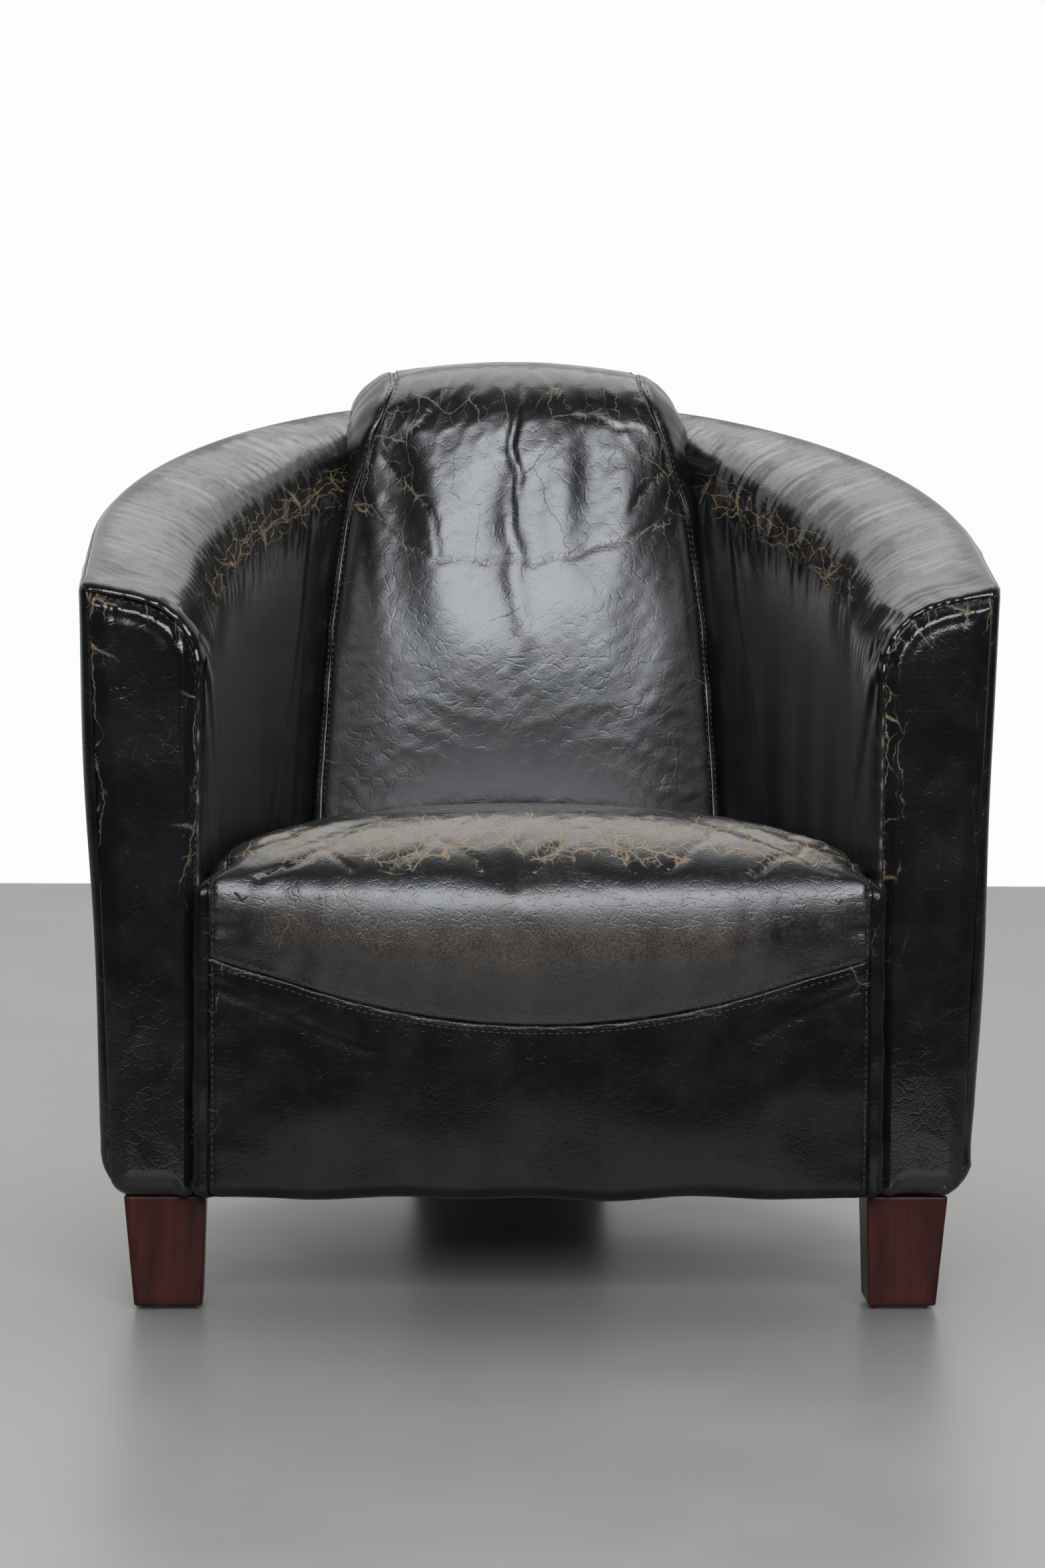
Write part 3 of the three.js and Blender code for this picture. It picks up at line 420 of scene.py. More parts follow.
def woodLook():
    look, wire, place = newLook("stainedWood")
    figure = noise(wire, warped(wire, place, 9.0, 0.03), 14.0, 5.0, 0.6, (3.0, 3.0, 0.35))
    pores = noise(wire, place, 330.0, 2.0, 0.6, (1.0, 1.0, 0.05))
    chipped = wire.node("Attribute", {"attribute_name": "chipped"}, out=2)
    bare = (chipped + noise(wire, place, 260.0, 3.0, 0.7) * 0.9 - 1.2).limited(0.0, 0.12)
    colour = figure.node("ValToRGB", {"stops": [
        (0.28, (0.010, 0.0026, 0.0020)), (0.5, (0.032, 0.0062, 0.0040)),
        (0.72, (0.068, 0.0120, 0.0068))]}, {"Fac": figure})
    colour = (pores.limited(0.5, 0.75) * 0.55).blended(colour, (0.014, 0.005, 0.004))
    colour = (bare * 0.85).blended(colour, (0.42, 0.3, 0.2))
    rough = pores * 0.16 + 0.26 + bare * 0.4
    bump = wire.node("Bump", None, {"Strength": 0.35, "Distance": 0.0004, "Height": pores * -0.6 - bare})
    finishLook(wire, colour, rough, bump, **{"Specular IOR Level": 0.2})
    return look


def plainLook(name, low, high, scale, stretch, rough, depth, metallic=0.0):  # frame timber, cloth, steel, nylon
    look, wire, place = newLook(name)
    figure = noise(wire, place, scale, 4.0, 0.6, stretch)
    fleck = noise(wire, place, scale * 9, 2.0, 0.6)
    colour = (figure * 0.7 + fleck * 0.3).limited(0.3, 0.7).blended(low, high)
    bump = wire.node("Bump", None, {"Strength": 0.4, "Distance": depth, "Height": figure + fleck})
    finishLook(wire, colour, fleck * 0.2 + rough, bump, Metallic=metallic)
    return look


# each wear table weights the pale grey of dust and painted sheen with its dust entry
armWear = {"longCell": 0.030, "longLine": 0.0010, "midCell": 0.0105, "midLine": 0.0006, "netCell": 0.0056,
           "netLine": 0.0005, "net": 0.25, "stretch": (1.0, 0.3, 1.0), "creaseCell": 0.009, "tan": 0.8, "rub": 0.4,
           "dust": 0.8, "rough": 0.10, "shine": 0.6, "bump": 0.34}
backWear = {"longCell": 0.044, "longLine": 0.0009, "midCell": 0.015, "midLine": 0.0006, "netCell": 0.0070,
            "netLine": 0.0005, "net": 0.4, "stretch": (1.0, 0.6, 1.0), "creaseCell": 0.010, "tan": 0.7, "rub": 0.2,
            "dust": 0.3, "rough": 0.19, "shine": 0.85, "bump": 0.25}
seatWear = {"longCell": 0.034, "longLine": 0.0015, "midCell": 0.0125, "midLine": 0.0010, "netCell": 0.0052,
            "netLine": 0.0006, "net": 0.7, "stretch": (1.0, 1.0, 1.0), "creaseCell": 0.006, "tan": 0.85, "rub": 0.85,
            "dust": 0.5, "rough": 0.2, "shine": 0.75, "bump": 0.4}
apronWear = dict(seatWear, longLine=0.0010, midLine=0.0006, net=0.2, dust=0.3, rough=0.12, shine=0.28, bump=0.3)
armLeather = leatherLook("armLeather", armWear)
backLeather = leatherLook("backLeather", backWear)
seatLeather = leatherLook("seatLeather", seatWear)
apronLeather = leatherLook("apronLeather", apronWear)
stainedWood = woodLook()
darkThread = plainLook("darkThread", (0.022, 0.022, 0.021), (0.07, 0.068, 0.062), 300.0, None, 0.4, 0.0001)
paleThread = plainLook("paleThread", (0.06, 0.058, 0.053), (0.19, 0.18, 0.16), 300.0, None, 0.5, 0.0001)
print("materials made")


# seat: cushion, front apron and the boxing at each side, all on one swept form

seatForm = {
    "line": [(-0.300, 0.0935), (-0.360, 0.0935), (-0.360, 0.3914), (0.1295, 0.356), (0.1295, 0.262)],
    "radii": [0.012, 0.054, 0.018],
    "half": 0.2585, "seamInset": 0.014, "seamHalf": 0.2445, "wallReach": 0.478, "wallGap": 0.0105,
    "frontEdge": 0.014, "topEdge": 0.050, "frontWall": 0.016, "topWall": 0.016,
    "crown": 0.017, "planCrown": 0.006,
    "bulge": 0.0145, "frontSwell": 0.007,
    "seamMiddle": 0.231, "seamSide": 0.283,
    "splits": [  # creases worn open over the nose: across, and up from where the front turns over
        [(-0.215, 0.012), (-0.165, 0.045), (-0.15, 0.07)], [(-0.15, 0.02), (-0.175, 0.06), (-0.2, 0.085)],
        [(-0.12, 0.018), (-0.085, 0.05), (-0.055, 0.085)], [(-0.045, 0.02), (-0.09, 0.065)],
        [(-0.01, 0.015), (0.02, 0.05), (0.03, 0.09)], [(0.075, 0.018), (0.045, 0.06)],
        [(0.10, 0.02), (0.13, 0.055), (0.15, 0.09)], [(0.165, 0.018), (0.205, 0.05), (0.225, 0.075)],
        [(0.225, 0.02), (0.19, 0.05), (0.165, 0.08)],
    ],
}
seatLine = Profile(seatForm["line"], seatForm["radii"])
tub = {"half": 0.359, "reach": 0.540, "rearShare": 0.626, "curveStart": -0.185, "front": -0.335, "wall": 0.099}


def seatHalf(y):  # stays inside the wall where it curves in
    lean = np.clip((y - tub["curveStart"]) / seatForm["wallReach"], 0, 0.99)
    inward = seatForm["half"] * (1 - np.sqrt(1 - lean ** 2))
    return seatForm["half"] - seatForm["wallGap"] * ramp(0.0, 0.25, lean) - inward


def seatSpan(s):
    y, z = seatLine.at(s)
    outY, outZ = seatLine.outward(s)
    upward = np.clip(outZ, 0, 1)
    rear = ramp(-0.1, 0.12, y)
    edge = mixed(mixed(seatForm["frontEdge"], seatForm["topEdge"], upward), 0.024, rear)
    wall = mixed(seatForm["frontWall"], seatForm["topWall"], upward)
    half = seatHalf(y)
    flat = half - edge
    seam = flat + edge * np.arcsin(np.clip((edge - seatForm["seamInset"]) / edge, 0, 1))
    return y, z, outY, outZ, half, edge, wall, flat, seam


def seatPoint(run, s):  # run is the length across from the middle
    y, z, outY, outZ, half, edge, _, flat, _ = seatSpan(s)
    side = np.sign(run)
    run = np.abs(run)
    turn = np.clip((run - flat) / edge, 0, math.pi / 2)
    x = np.minimum(run, flat) + edge * np.sin(turn)
    past = np.maximum(run - flat - edge * math.pi / 2, 0)
    upward = np.clip(outZ, 0, 1)
    drop = (seatForm["crown"] * upward + seatForm["planCrown"] * np.clip(-outY, 0, 1)) * (x / half) ** 2
    depth = edge * (1 - np.cos(turn)) + past + drop
    nose = mixed(0.3, 0.04, np.clip(-outY, 0, 1) * np.clip(outZ, 0, 1) * 2)  # no deeper than the roll at its corners
    depth = nose * np.tanh(depth / nose)
    py = y - outY * depth
    pz = z - outZ * depth
    free = 1 - ramp(-0.351, -0.337, py)  # in front of the arms the boxing bulges out
    px = x + seatForm["bulge"] * free * ramp(0.19, seatForm["half"], x)
    return np.stack([side * px, py, pz], -1)


def seatSeamS(x):  # profile length at the curved front seam
    bow = (np.abs(x) / seatForm["seamHalf"]) ** 2
    rise = seatForm["seamMiddle"] + (seatForm["seamSide"] - seatForm["seamMiddle"]) * bow
    front = seatLine.run[np.argmin(np.hypot(seatLine.first + 0.360, seatLine.second - 0.2))]
    return front + rise - 0.2


rollFoot = seatForm["line"][2][1] - 1.076 * seatForm["radii"][1]  # height where the front starts to turn over
rollStart = seatLine.run[np.argmin(np.abs(seatLine.second - rollFoot) + 10 * (seatLine.first > -0.3))]


def rollTurn(s):  # degrees up the front roll, 0 at its foot and 90 on the seat's top
    return np.degrees((s - rollStart) / seatForm["radii"][1])


def seamDips(distance, depth, width):
    return -depth * np.exp(-(distance / width) ** 2)


def gathers(along, distance, seed, pitch, depth, reach):  # short folds that run in from a seam
    return depth * waves(seed, 5, along / pitch) * np.exp(-distance / reach) * ramp(0.0, 0.002, distance)


seatPadding = {"pressure": 12.0, "mass": 0.002, "stiffness": 40.0, "bending": 0.6, "shrink": 0.0,
               "frames": 18, "cap": 0.008}
seatHint = (0, -0.5, 1)


def buildSeat():
    u, v = field(edged(176, 0.45), edged(206, 0.35))
    start = seatSeamS((2 * u - 1) * seatForm["seamHalf"])
    s = mixed(start, seatLine.length, v)
    seam = seatSpan(s)[-1]
    run = (2 * u - 1) * seam
    grid = seatPoint(run, s)
    fromSide = seam - np.abs(run)
    fromFront = s - start
    middle = 1 - ramp(0.55, 1.0, np.abs(2 * u - 1))
    swell = seatForm["frontSwell"] * hill(s, rollStart - 0.042, 0.055) * middle * ramp(0.0, 0.05, fromFront)
    grid = pushed(grid, seatHint, swell)
    hold = np.maximum(1 - ramp(0.004, 0.012, np.minimum(fromSide, fromFront)), ramp(0.93, 1.0, v))
    grid = inflated("seatPad", grid, seatHint, hold, seatPadding)
    turn = rollTurn(s)
    x = run
    worn = 0.0004 * folds(11, 5, x / 0.06, s / 0.045) * ramp(20, 70, turn) * (1 - ramp(0.3, 0.9, v))
    fine = 0.0001 * waves(12, 6, x / 0.022, s / 0.018) * ramp(20, 50, turn) * (1 - ramp(0.4, 0.7, v))
    pull = 0.0003 * waves(13, 6, x / 0.03, s / 0.2) * ramp(0.0, 0.02, fromFront) * (1 - ramp(0.05, 0.14, fromFront))
    over = s - rollStart
    creases = 0 * x
    for path in seatForm["splits"]:
        creases = creases - 0.0012 * valley(x + 0.003 * np.sin(over * 210 + x * 40), over, path, 0.0027)
    side = gathers(s, fromSide, 14, 0.024, 0.0006, 0.014)
    front = gathers(x, fromFront, 15, 0.03, 0.0005, 0.014)
    dips = seamDips(fromSide, 0.0018, 0.003) + seamDips(fromFront, 0.0006, 0.002)
    grid = pushed(grid, seatHint, worn + fine + pull + creases + side + front + dips)
    piece, order = panelMesh("seatPad", grid, seatHint)
    ends = 1 - 0.3 * ramp(0.2, 0.25, np.abs(x))
    patchy = 0.1 * waves(16, 6, x / 0.09, s / 0.06)
    band = ramp(18, 40, turn + 80 * patchy) * (1 - ramp(84, 112, turn + 80 * patchy))
    cracked = (0.8 * band + 0.52 * ramp(60, 90, turn) * (1 - ramp(0.5, 0.85, v)) * (1 - band)) * ends
    cracked = np.maximum(cracked, 0.4 * np.exp(-fromSide / 0.03) * (1 - ramp(0.6, 0.8, v)))
    cracked = np.maximum(cracked, 0.3 * (1 - ramp(10, 40, turn)))
    cracked = np.maximum(cracked, 0.92 * ramp(0.0004, 0.0011, -creases))
    rubbed = 1.05 * hill(over, -0.036, 0.045) * ramp(0.0, 0.06, fromFront) \
        * (1 - 0.35 * ramp(0.14, 0.26, np.abs(x + 0.03)))
    rubbed = np.maximum(rubbed + 0.3 * patchy, 0.3 * band)
    dusty = 0.55 * hill(turn, 98, 16) + 0.2 * ramp(60, 90, turn)
    paint(piece, order, run, s, cracked=cracked, rubbed=rubbed, dusty=dusty)
    backed(piece, order, 0.03)
    fitted(piece, seatLeather, ["seat_cover", "seat_foam"])
    return grid


def buildApron():
    u, v = field(edged(150, 0.45), edged(76, 0.3))
    end = seatSeamS((2 * u - 1) * seatForm["seamHalf"])
    s = v * end
    seam = seatSpan(s)[-1]
    run = (2 * u - 1) * seam
    grid = seatPoint(run, s)
    fromSide = seam - np.abs(run)
    fromTop = end - s
    z = grid[..., 2]
    swell = 0.003 * np.sin(math.pi * np.clip((z - 0.1) / 0.15, 0, 1)) * (1 - ramp(0.7, 1.0, np.abs(2 * u - 1)))
    slack = 0.0005 * waves(21, 6, run / 0.2, s / 0.1) \
        + 0.00015 * folds(22, 4, run / 0.09, s / 0.03) * ramp(0.16, 0.24, s)
    hem = 0.0016 * waves(23, 4, run / 0.13) * ramp(0.03, 0.055, s) * (1 - ramp(0.075, 0.12, s))
    puckers = gathers(run, fromTop, 24, 0.028, 0.0004, 0.014) + gathers(s, fromSide, 25, 0.025, 0.0004, 0.012)
    corner = -0.0007 * valley(run, fromTop, [(-0.24, 0.02), (-0.18, 0.03), (-0.13, 0.034)], 0.006) \
        - 0.0006 * valley(run, fromTop, [(0.24, 0.018), (0.17, 0.032)], 0.006)
    dips = seamDips(fromSide, 0.0018, 0.003) + seamDips(fromTop, 0.0004, 0.002)
    grid = pushed(grid, (0, -1, 0), swell + slack + puckers + corner + dips)
    grid[..., 2] += hem
    piece, order = panelMesh("frontApron", grid, (0, -1, 0))
    cracked = 0.28 * np.exp(-fromTop / 0.03) + 0.3 * np.exp(-fromSide / 0.012) + 0.14
    paint(piece, order, run, s, cracked=cracked, rubbed=0.25 * np.exp(-fromTop / 0.015), dusty=0 * s + 0.05)
    backed(piece, order, 0.008)
    fitted(piece, apronLeather, ["front_apron", "apron_pad"])
    return grid


def buildSeatBoxing(name, side):
    u, v = field(np.linspace(0, 1, 26), np.linspace(0, 1, 190))
    s = v * (seatLine.length - 0.02)
    *_, edge, wall, flat, seam = seatSpan(s)
    run = mixed(seam, flat + edge * math.pi / 2 + wall, u)
    grid = seatPoint(side * run, s)
    fromSeam = run - seam
    hint = (side, -0.4, 0.3)
    front = 1 - ramp(-0.345, -0.28, grid[..., 1])
    ridges = 0.0016 * folds(31 + side, 3, s / 0.026, u / 5) \
        * hill(grid[..., 2], 0.285, 0.05) * front * ramp(0.1, 0.5, u)
    slack = 0.0006 * waves(34 + side, 5, s / 0.05, u / 3)
    dips = seamDips(fromSeam, 0.0018, 0.003)
    grid = pushed(grid, hint, ridges + slack + dips + 0.001 * hill(fromSeam, 0.008, 0.005))
    piece, order = panelMesh(name + "SeatBoxing", grid, hint)
    cracked = 0.42 * np.exp(-fromSeam / 0.012) * ramp(0.2, 0.35, grid[..., 2]) + 0.16
    paint(piece, order, run + side, s, cracked=cracked, rubbed=0 * s, dusty=0 * s + 0.1)
    backed(piece, order, 0.003)
    fitted(piece, apronLeather, [name + "_seat_gusset"])


seatGrid = buildSeat()
apronGrid = buildApron()
for name, side in sides.items():
    buildSeatBoxing(name, side)
print("seat made")


# back: one tapered band up the front, over the roll and down the rear, with boxing at each side

backForm = {
    "line": [(0.131, 0.318), (0.187, 0.7445), (0.360, 0.7445), (0.345, 0.0945)],
    "radii": [0.058, 0.058],
    "bulge": 0.014,
    "hollows": [  # depth, width and path of the broad dents, from their tops
        (0.0030, 0.022, [(-0.024, 0.66), (-0.034, 0.60), (-0.030, 0.54)]),
        (0.0030, 0.024, [(0.080, 0.69), (0.066, 0.65), (0.056, 0.58)]),
        (0.0018, 0.014, [(0.020, 0.66), (0.012, 0.60), (0.022, 0.55)]),
        (0.0016, 0.026, [(-0.104, 0.67), (-0.112, 0.60)]),
    ],
    "splits": [  # creases worn open
        [(-0.145, 0.622), (-0.10, 0.583), (-0.075, 0.572), (0.025, 0.572), (0.105, 0.593), (0.135, 0.608)],
        [(-0.125, 0.665), (-0.075, 0.61), (-0.07, 0.575)],
        [(-0.06, 0.735), (-0.085, 0.69), (-0.12, 0.668)],
        [(0.135, 0.66), (0.10, 0.615)],
        [(0.02, 0.738), (0.05, 0.70), (0.11, 0.685)],
    ],
}
backLine = Profile(backForm["line"], backForm["radii"])
backMarks = {
    "frontTop": backLine.run[np.argmin(np.hypot(backLine.first - 0.1795, backLine.second - 0.69))],
    "crest": backLine.run[np.argmin(np.hypot(backLine.first - 0.272, backLine.second - 0.7445))],
    "rearTop": backLine.run[np.argmin(np.hypot(backLine.first - 0.3585, backLine.second - 0.69))],
    "end": backLine.length,
}


def byBack(s, front, frontTop, crest, rearTop, end):
    knots = [0.0, backMarks["frontTop"], backMarks["crest"], backMarks["rearTop"], backMarks["end"]]
    return np.interp(s, knots, [front, frontTop, crest, rearTop, end])


def backSpan(s):
    y, z = backLine.at(s)
    half = byBack(s, 0.184, 0.153, 0.151, 0.146, 0.095)
    edge = byBack(s, 0.018, 0.042, 0.060, 0.014, 0.007)
    wall = byBack(s, 0.050, 0.022, 0.012, 0.030, 0.045)
    low = 0.4 * backMarks["frontTop"]
    edge = np.where(s < low, 0.018 + 0.003 * s / low, edge)
    edge = np.where((s >= low) & (s < backMarks["frontTop"]),
                    mixed(0.021, 0.042, ramp(low, backMarks["frontTop"], s)), edge)
    flat = half - edge
    frontSeam = np.interp(z, [0.33, 0.37, 0.513, 0.603, 0.690, 0.735], [0.174, 0.173, 0.164, 0.152, 0.128, 0.110])
    rearSeam = np.interp(z, [0.094, 0.69, 0.735], [0.083, 0.124, 0.110])
    seamX = np.where(s < backMarks["crest"], frontSeam, rearSeam)
    seam = np.where(seamX > flat, flat + edge * np.arcsin(np.clip((seamX - flat) / edge, 0, 0.97)), seamX)
    return y, z, half, edge, wall, flat, seam


def backPoint(run, s):
    y, z, half, edge, _, flat, _ = backSpan(s)
    side = np.sign(run)
    run = np.abs(run)
    turn = np.clip((run - flat) / edge, 0, math.pi / 2)
    x = np.minimum(run, flat) + edge * np.sin(turn)
    past = np.maximum(run - flat - edge * math.pi / 2, 0)
    crown = byBack(s, 0.25, 0.75, 1.0, 0.0, 0.0)
    depth = edge * (1 - np.cos(turn)) + past + crown * x ** 2
    coreY = byBack(s, 0.235, 0.262, 0.272, 0.272, 0.262)
    coreZ = np.minimum(z, 0.625)
    away = np.hypot(coreY - y, coreZ - z)
    swell = backForm["bulge"] * np.sin(math.pi * np.clip((z - 0.31) / 0.40, 0, 1)) * (s < backMarks["crest"])
    swell = swell * (1 - 0.45 * (x / half) ** 2)
    depth = depth - swell - 0.0015 * ramp(backMarks["crest"], backMarks["rearTop"], s)
    return np.stack([side * x, y + (coreY - y) / away * depth, z + (coreZ - z) / away * depth], -1)


backPadding = {"pressure": 14.0, "mass": 0.002, "stiffness": 40.0, "bending": 0.6, "shrink": 0.0,
               "frames": 18, "cap": 0.006}
backHint = (0, 0, 1)


def buildBack():
    u, v = field(edged(132, 0.45), np.concatenate([np.linspace(0, 0.52, 205)[:-1], np.linspace(0.52, 1, 90)]))
    s = v * backLine.length
    _, z, *_, seam = backSpan(s)
    run = (2 * u - 1) * seam
    grid = backPoint(run, s)
    fromSide = seam - np.abs(run)
    onFront = s < backMarks["crest"]
    hold = np.maximum(1 - ramp(0.004, 0.014, fromSide), np.maximum(1 - ramp(0.0, 0.03, v), ramp(0.5, 0.6, v)))
    grid = inflated("backPad", grid, backHint, hold, backPadding)
    x = grid[..., 0]
    z = grid[..., 2]
    body = ramp(0.40, 0.52, z) * (1 - ramp(0.66, 0.715, z)) * onFront
    long = ramp(0.36, 0.5, z) * (1 - ramp(0.70, 0.742, z)) * onFront
    sway = x + 0.006 * np.sin(z * 21) + 0.004 * np.sin(z * 47 + 1)
    pleats = 0.0006 * waves(41, 5, sway / 0.07, z / 0.6) * body
    for depth, width, path in backForm["hollows"]:
        pleats = pleats - depth * dent(x, z, path, width) * onFront
    jitter = 0.0020 * np.sin(z * 95) + 0.0010 * np.sin(z * 170 + 1)
    middle = -0.0022 * dent(x + jitter, z, [(-0.002, 0.72), (-0.005, 0.66), (0.001, 0.62)], 0.0042) * onFront
    middle = middle + 0.0016 * dent(x + jitter, z, [(-0.008, 0.62), (-0.004, 0.56), (0.004, 0.50)], 0.0085) * onFront
    level = 0 * x
    for path in backForm["splits"]:
        level = level - 0.0005 * valley(x, z + 0.002 * np.sin(x * 160), path, 0.0026) * onFront
    top = 0.0003 * folds(42, 5, x / 0.035, s / 0.05) * hill(s, backMarks["frontTop"] + 0.05, 0.09)
    fine = 0.00005 * waves(43, 8, x / 0.018, s / 0.014) * (1 - 0.6 * ramp(0.5, 0.6, v))
    low = 0.00012 * folds(44, 4, x / 0.12, z / 0.06) * (1 - ramp(0.42, 0.52, z)) * onFront
    rear = 0.0005 * (waves(45, 5, x / 0.12, s / 0.16) + 1.6) * ramp(0.55, 0.65, v)
    side = gathers(s, fromSide, 46, 0.03, 0.0002, 0.010)
    dips = seamDips(fromSide, 0.0011, 0.0026)
    grid = pushed(grid, backHint, pleats + middle + level + top + fine + low + rear + side + dips)
    piece, order = panelMesh("backPad", grid, backHint)
    roll = hill(s, backMarks["frontTop"] + 0.045, 0.07)
    upper = ramp(0.55, 0.68, z)
    cracked = 0.56 * roll + 0.48 * upper * onFront * (1 - roll) + 0.36 * onFront * (1 - upper)
    cracked = cracked + 0.16 * np.exp(-fromSide / 0.03) * onFront
    cracked = np.maximum(cracked, ramp(0.0001, 0.00035, -level))
    cracked = np.maximum(cracked, 0.5 * hill(x, -0.003, 0.012) * long)
    cracked = np.where(onFront, cracked, np.maximum(0.22, 0.6 * roll))
    paint(piece, order, run, s, cracked=cracked, rubbed=0.05 * roll, dusty=0 * roll)
    backed(piece, order, 0.028, np.where(onFront, 1.0, mixed(1.0, 0.1, ramp(0.5, 0.6, v))))
    fitted(piece, backLeather, ["back_cover", "back_foam"])
    return grid


def buildBackBoxing(name, side):
    u, v = field(edged(30, 0.3), np.linspace(0, 1, 300))
    s = v * backLine.length
    *_, edge, wall, flat, seam = backSpan(s)
    run = mixed(seam, flat + edge * math.pi / 2 + wall, u)
    grid = backPoint(side * run, s)
    fromSeam = run - seam
    hint = (side, 0, 0)
    crown = hill(s, backMarks["crest"], 0.16)
    slack = 0.0008 * waves(51 + side, 6, s / 0.05, u / 2.5) + 0.0004 * folds(54 + side, 3, s / 0.03, u / 4) * crown
    rim = 0.0007 * hill(fromSeam, 0.009, 0.006)
    grid = pushed(grid, hint, slack * ramp(0, 0.004, fromSeam) + rim + seamDips(fromSeam, 0.0011, 0.0026))
    piece, order = panelMesh(name + "BackBoxing", grid, hint)
    cracked = 0.3 + 0.3 * crown
    paint(piece, order, run + side, s, cracked=cracked, rubbed=0 * s, dusty=0.2 * crown)
    backed(piece, order, 0.003)
    fitted(piece, backLeather, [name + "_back_gusset"])
    return grid


backGrid = buildBack()
backBoxing = {name: buildBackBoxing(name, side) for name, side in sides.items()}
print("back made")


# arms: inside and top panel, outside panel and front facing on each side

armForm = {
    "topFront": 0.573, "rise": 0.2, "roll": 0.062, "corner": 0.010, "lean": 0.018, "slope": 0.007,
    "tuck": 0.238, "floor": 0.0925, "hem": 0.028, "hemReturn": 0.046, "wrap": 0.008, "straight": 0.150,
    "perRadian": 0.5, "overShare": 0.34, "overRun": 0.132,  # overShare: the part of the inside panel over the top
}


def armTop(y):
    return armForm["topFront"] + armForm["rise"] * (y - tub["front"])


def wallPlace(side, p, t):  # p is the depth in from the outer top edge, t the way back from the front
    angle = np.maximum(t - armForm["straight"], 0) / armForm["perRadian"]
    back = np.minimum(t, armForm["straight"])
    x = (tub["half"] - p) * np.cos(angle)
    y = tub["front"] + back + (tub["reach"] - tub["rearShare"] * p) * np.sin(angle)
    outerY = tub["front"] + back + tub["reach"] * np.sin(angle)
    return side * x, y, armTop(outerY)


def topSlope(p):
    return armForm["slope"] * ramp(0.0, 0.055, p)


def insideSection(q, top):  # outer seam, over the top and down the inside face; gives p, z and their outward
    roll, corner = armForm["roll"], armForm["corner"]
    flatRun = tub["wall"] - roll - corner
    arc = corner * math.pi / 4
    over = arc + flatRun + roll * math.pi / 2
    run = np.minimum(q / armForm["overShare"], 1) * over
    edgeTurn = math.pi / 4 * (1 - np.clip(run / arc, 0, 1))
    rollTurnAngle = np.clip((run - arc - flatRun) / roll, 0, math.pi / 2)
    p = corner - corner * np.sin(edgeTurn) + np.clip(run - arc, 0, flatRun) + roll * np.sin(rollTurnAngle)
    z = top - corner * (1 - np.cos(edgeTurn)) - roll * (1 - np.cos(rollTurnAngle))
    down = np.clip((q - armForm["overShare"]) / (1 - armForm["overShare"]), 0, 1)
    z = z - down * (top - roll - armForm["tuck"])
    outP = np.sin(rollTurnAngle) - np.sin(edgeTurn)
    outZ = np.cos(rollTurnAngle) * np.cos(edgeTurn)
    return p, z - topSlope(p), outP, outZ


def outsideSection(q, top):  # outer seam, down the outer face and under the hem
    corner, hem = armForm["corner"], armForm["hem"]
    turn = math.pi / 4 * (1 + np.clip(q / 0.05, 0, 1))
    down = np.clip((q - 0.05) / 0.77, 0, 1)
    under = np.clip((q - 0.82) / 0.1, 0, 1) * math.pi / 2
    inward = np.clip((q - 0.92) / 0.08, 0, 1)
    z = top - corner + corner * np.cos(turn)
    z = z - down * (top - corner - armForm["floor"] - hem) - hem * np.sin(under)
    p = corner - corner * np.sin(turn) + hem * (1 - np.cos(under)) + inward * armForm["hemReturn"]
    p = p + armForm["lean"] * (top - z) / (top - armForm["floor"])
    outP = -np.sin(turn) * np.cos(under)
    outZ = np.cos(turn) - np.sin(under)
    return p, z, outP, outZ


def spineSide(y, z):  # half width of the back where the arm runs into it
    front = np.interp(z, [0.33, 0.70], [0.182, 0.152])
    rear = np.interp(z, [0.094, 0.70], [0.095, 0.146])
    return mixed(front, rear, np.clip((y - 0.17) / 0.16, 0, 1))


def armSurface(side, section, q, v, wrapRows, inset):  # v: first the wrap over the front edge, then back to the spine
    wrap = armForm["wrap"]
    turn = np.clip(v / wrapRows, 0, 1) * math.pi / 2
    share = np.clip((v - wrapRows) / (1 - wrapRows), 0, 1)
    p, z, outP, outZ = section(q, armTop(tub["front"]) + 0 * v)
    reach = np.full_like(q, 0.9)
    for _ in range(12):  # how far back this line of the panel meets the spine
        x, y, top = wallPlace(1, p, reach)
        z = section(q, top)[1]
        limit = (spineSide(y, z) - inset) / (tub["half"] - p)
        met = armForm["straight"] + armForm["perRadian"] * np.arccos(np.clip(limit, 0.05, 0.98))
        reach = mixed(reach, met, 0.7)
    t = wrap + share * (reach - wrap)
    x, y, top = wallPlace(side, p, t)
    z = section(q, top)[1]
    e = wrap * (1 - np.sin(turn))
    front = t - wrap * np.cos(turn)
    x, y, top = wallPlace(side, p - e * outP, front)
    z = section(q, top)[1] - e * outZ
    return np.stack([x, y, z], -1), t, p


armPadding = {"pressure": 3.0, "mass": 0.002, "stiffness": 40.0, "bending": 0.6, "shrink": 0.0,
              "frames": 14, "cap": 0.005}


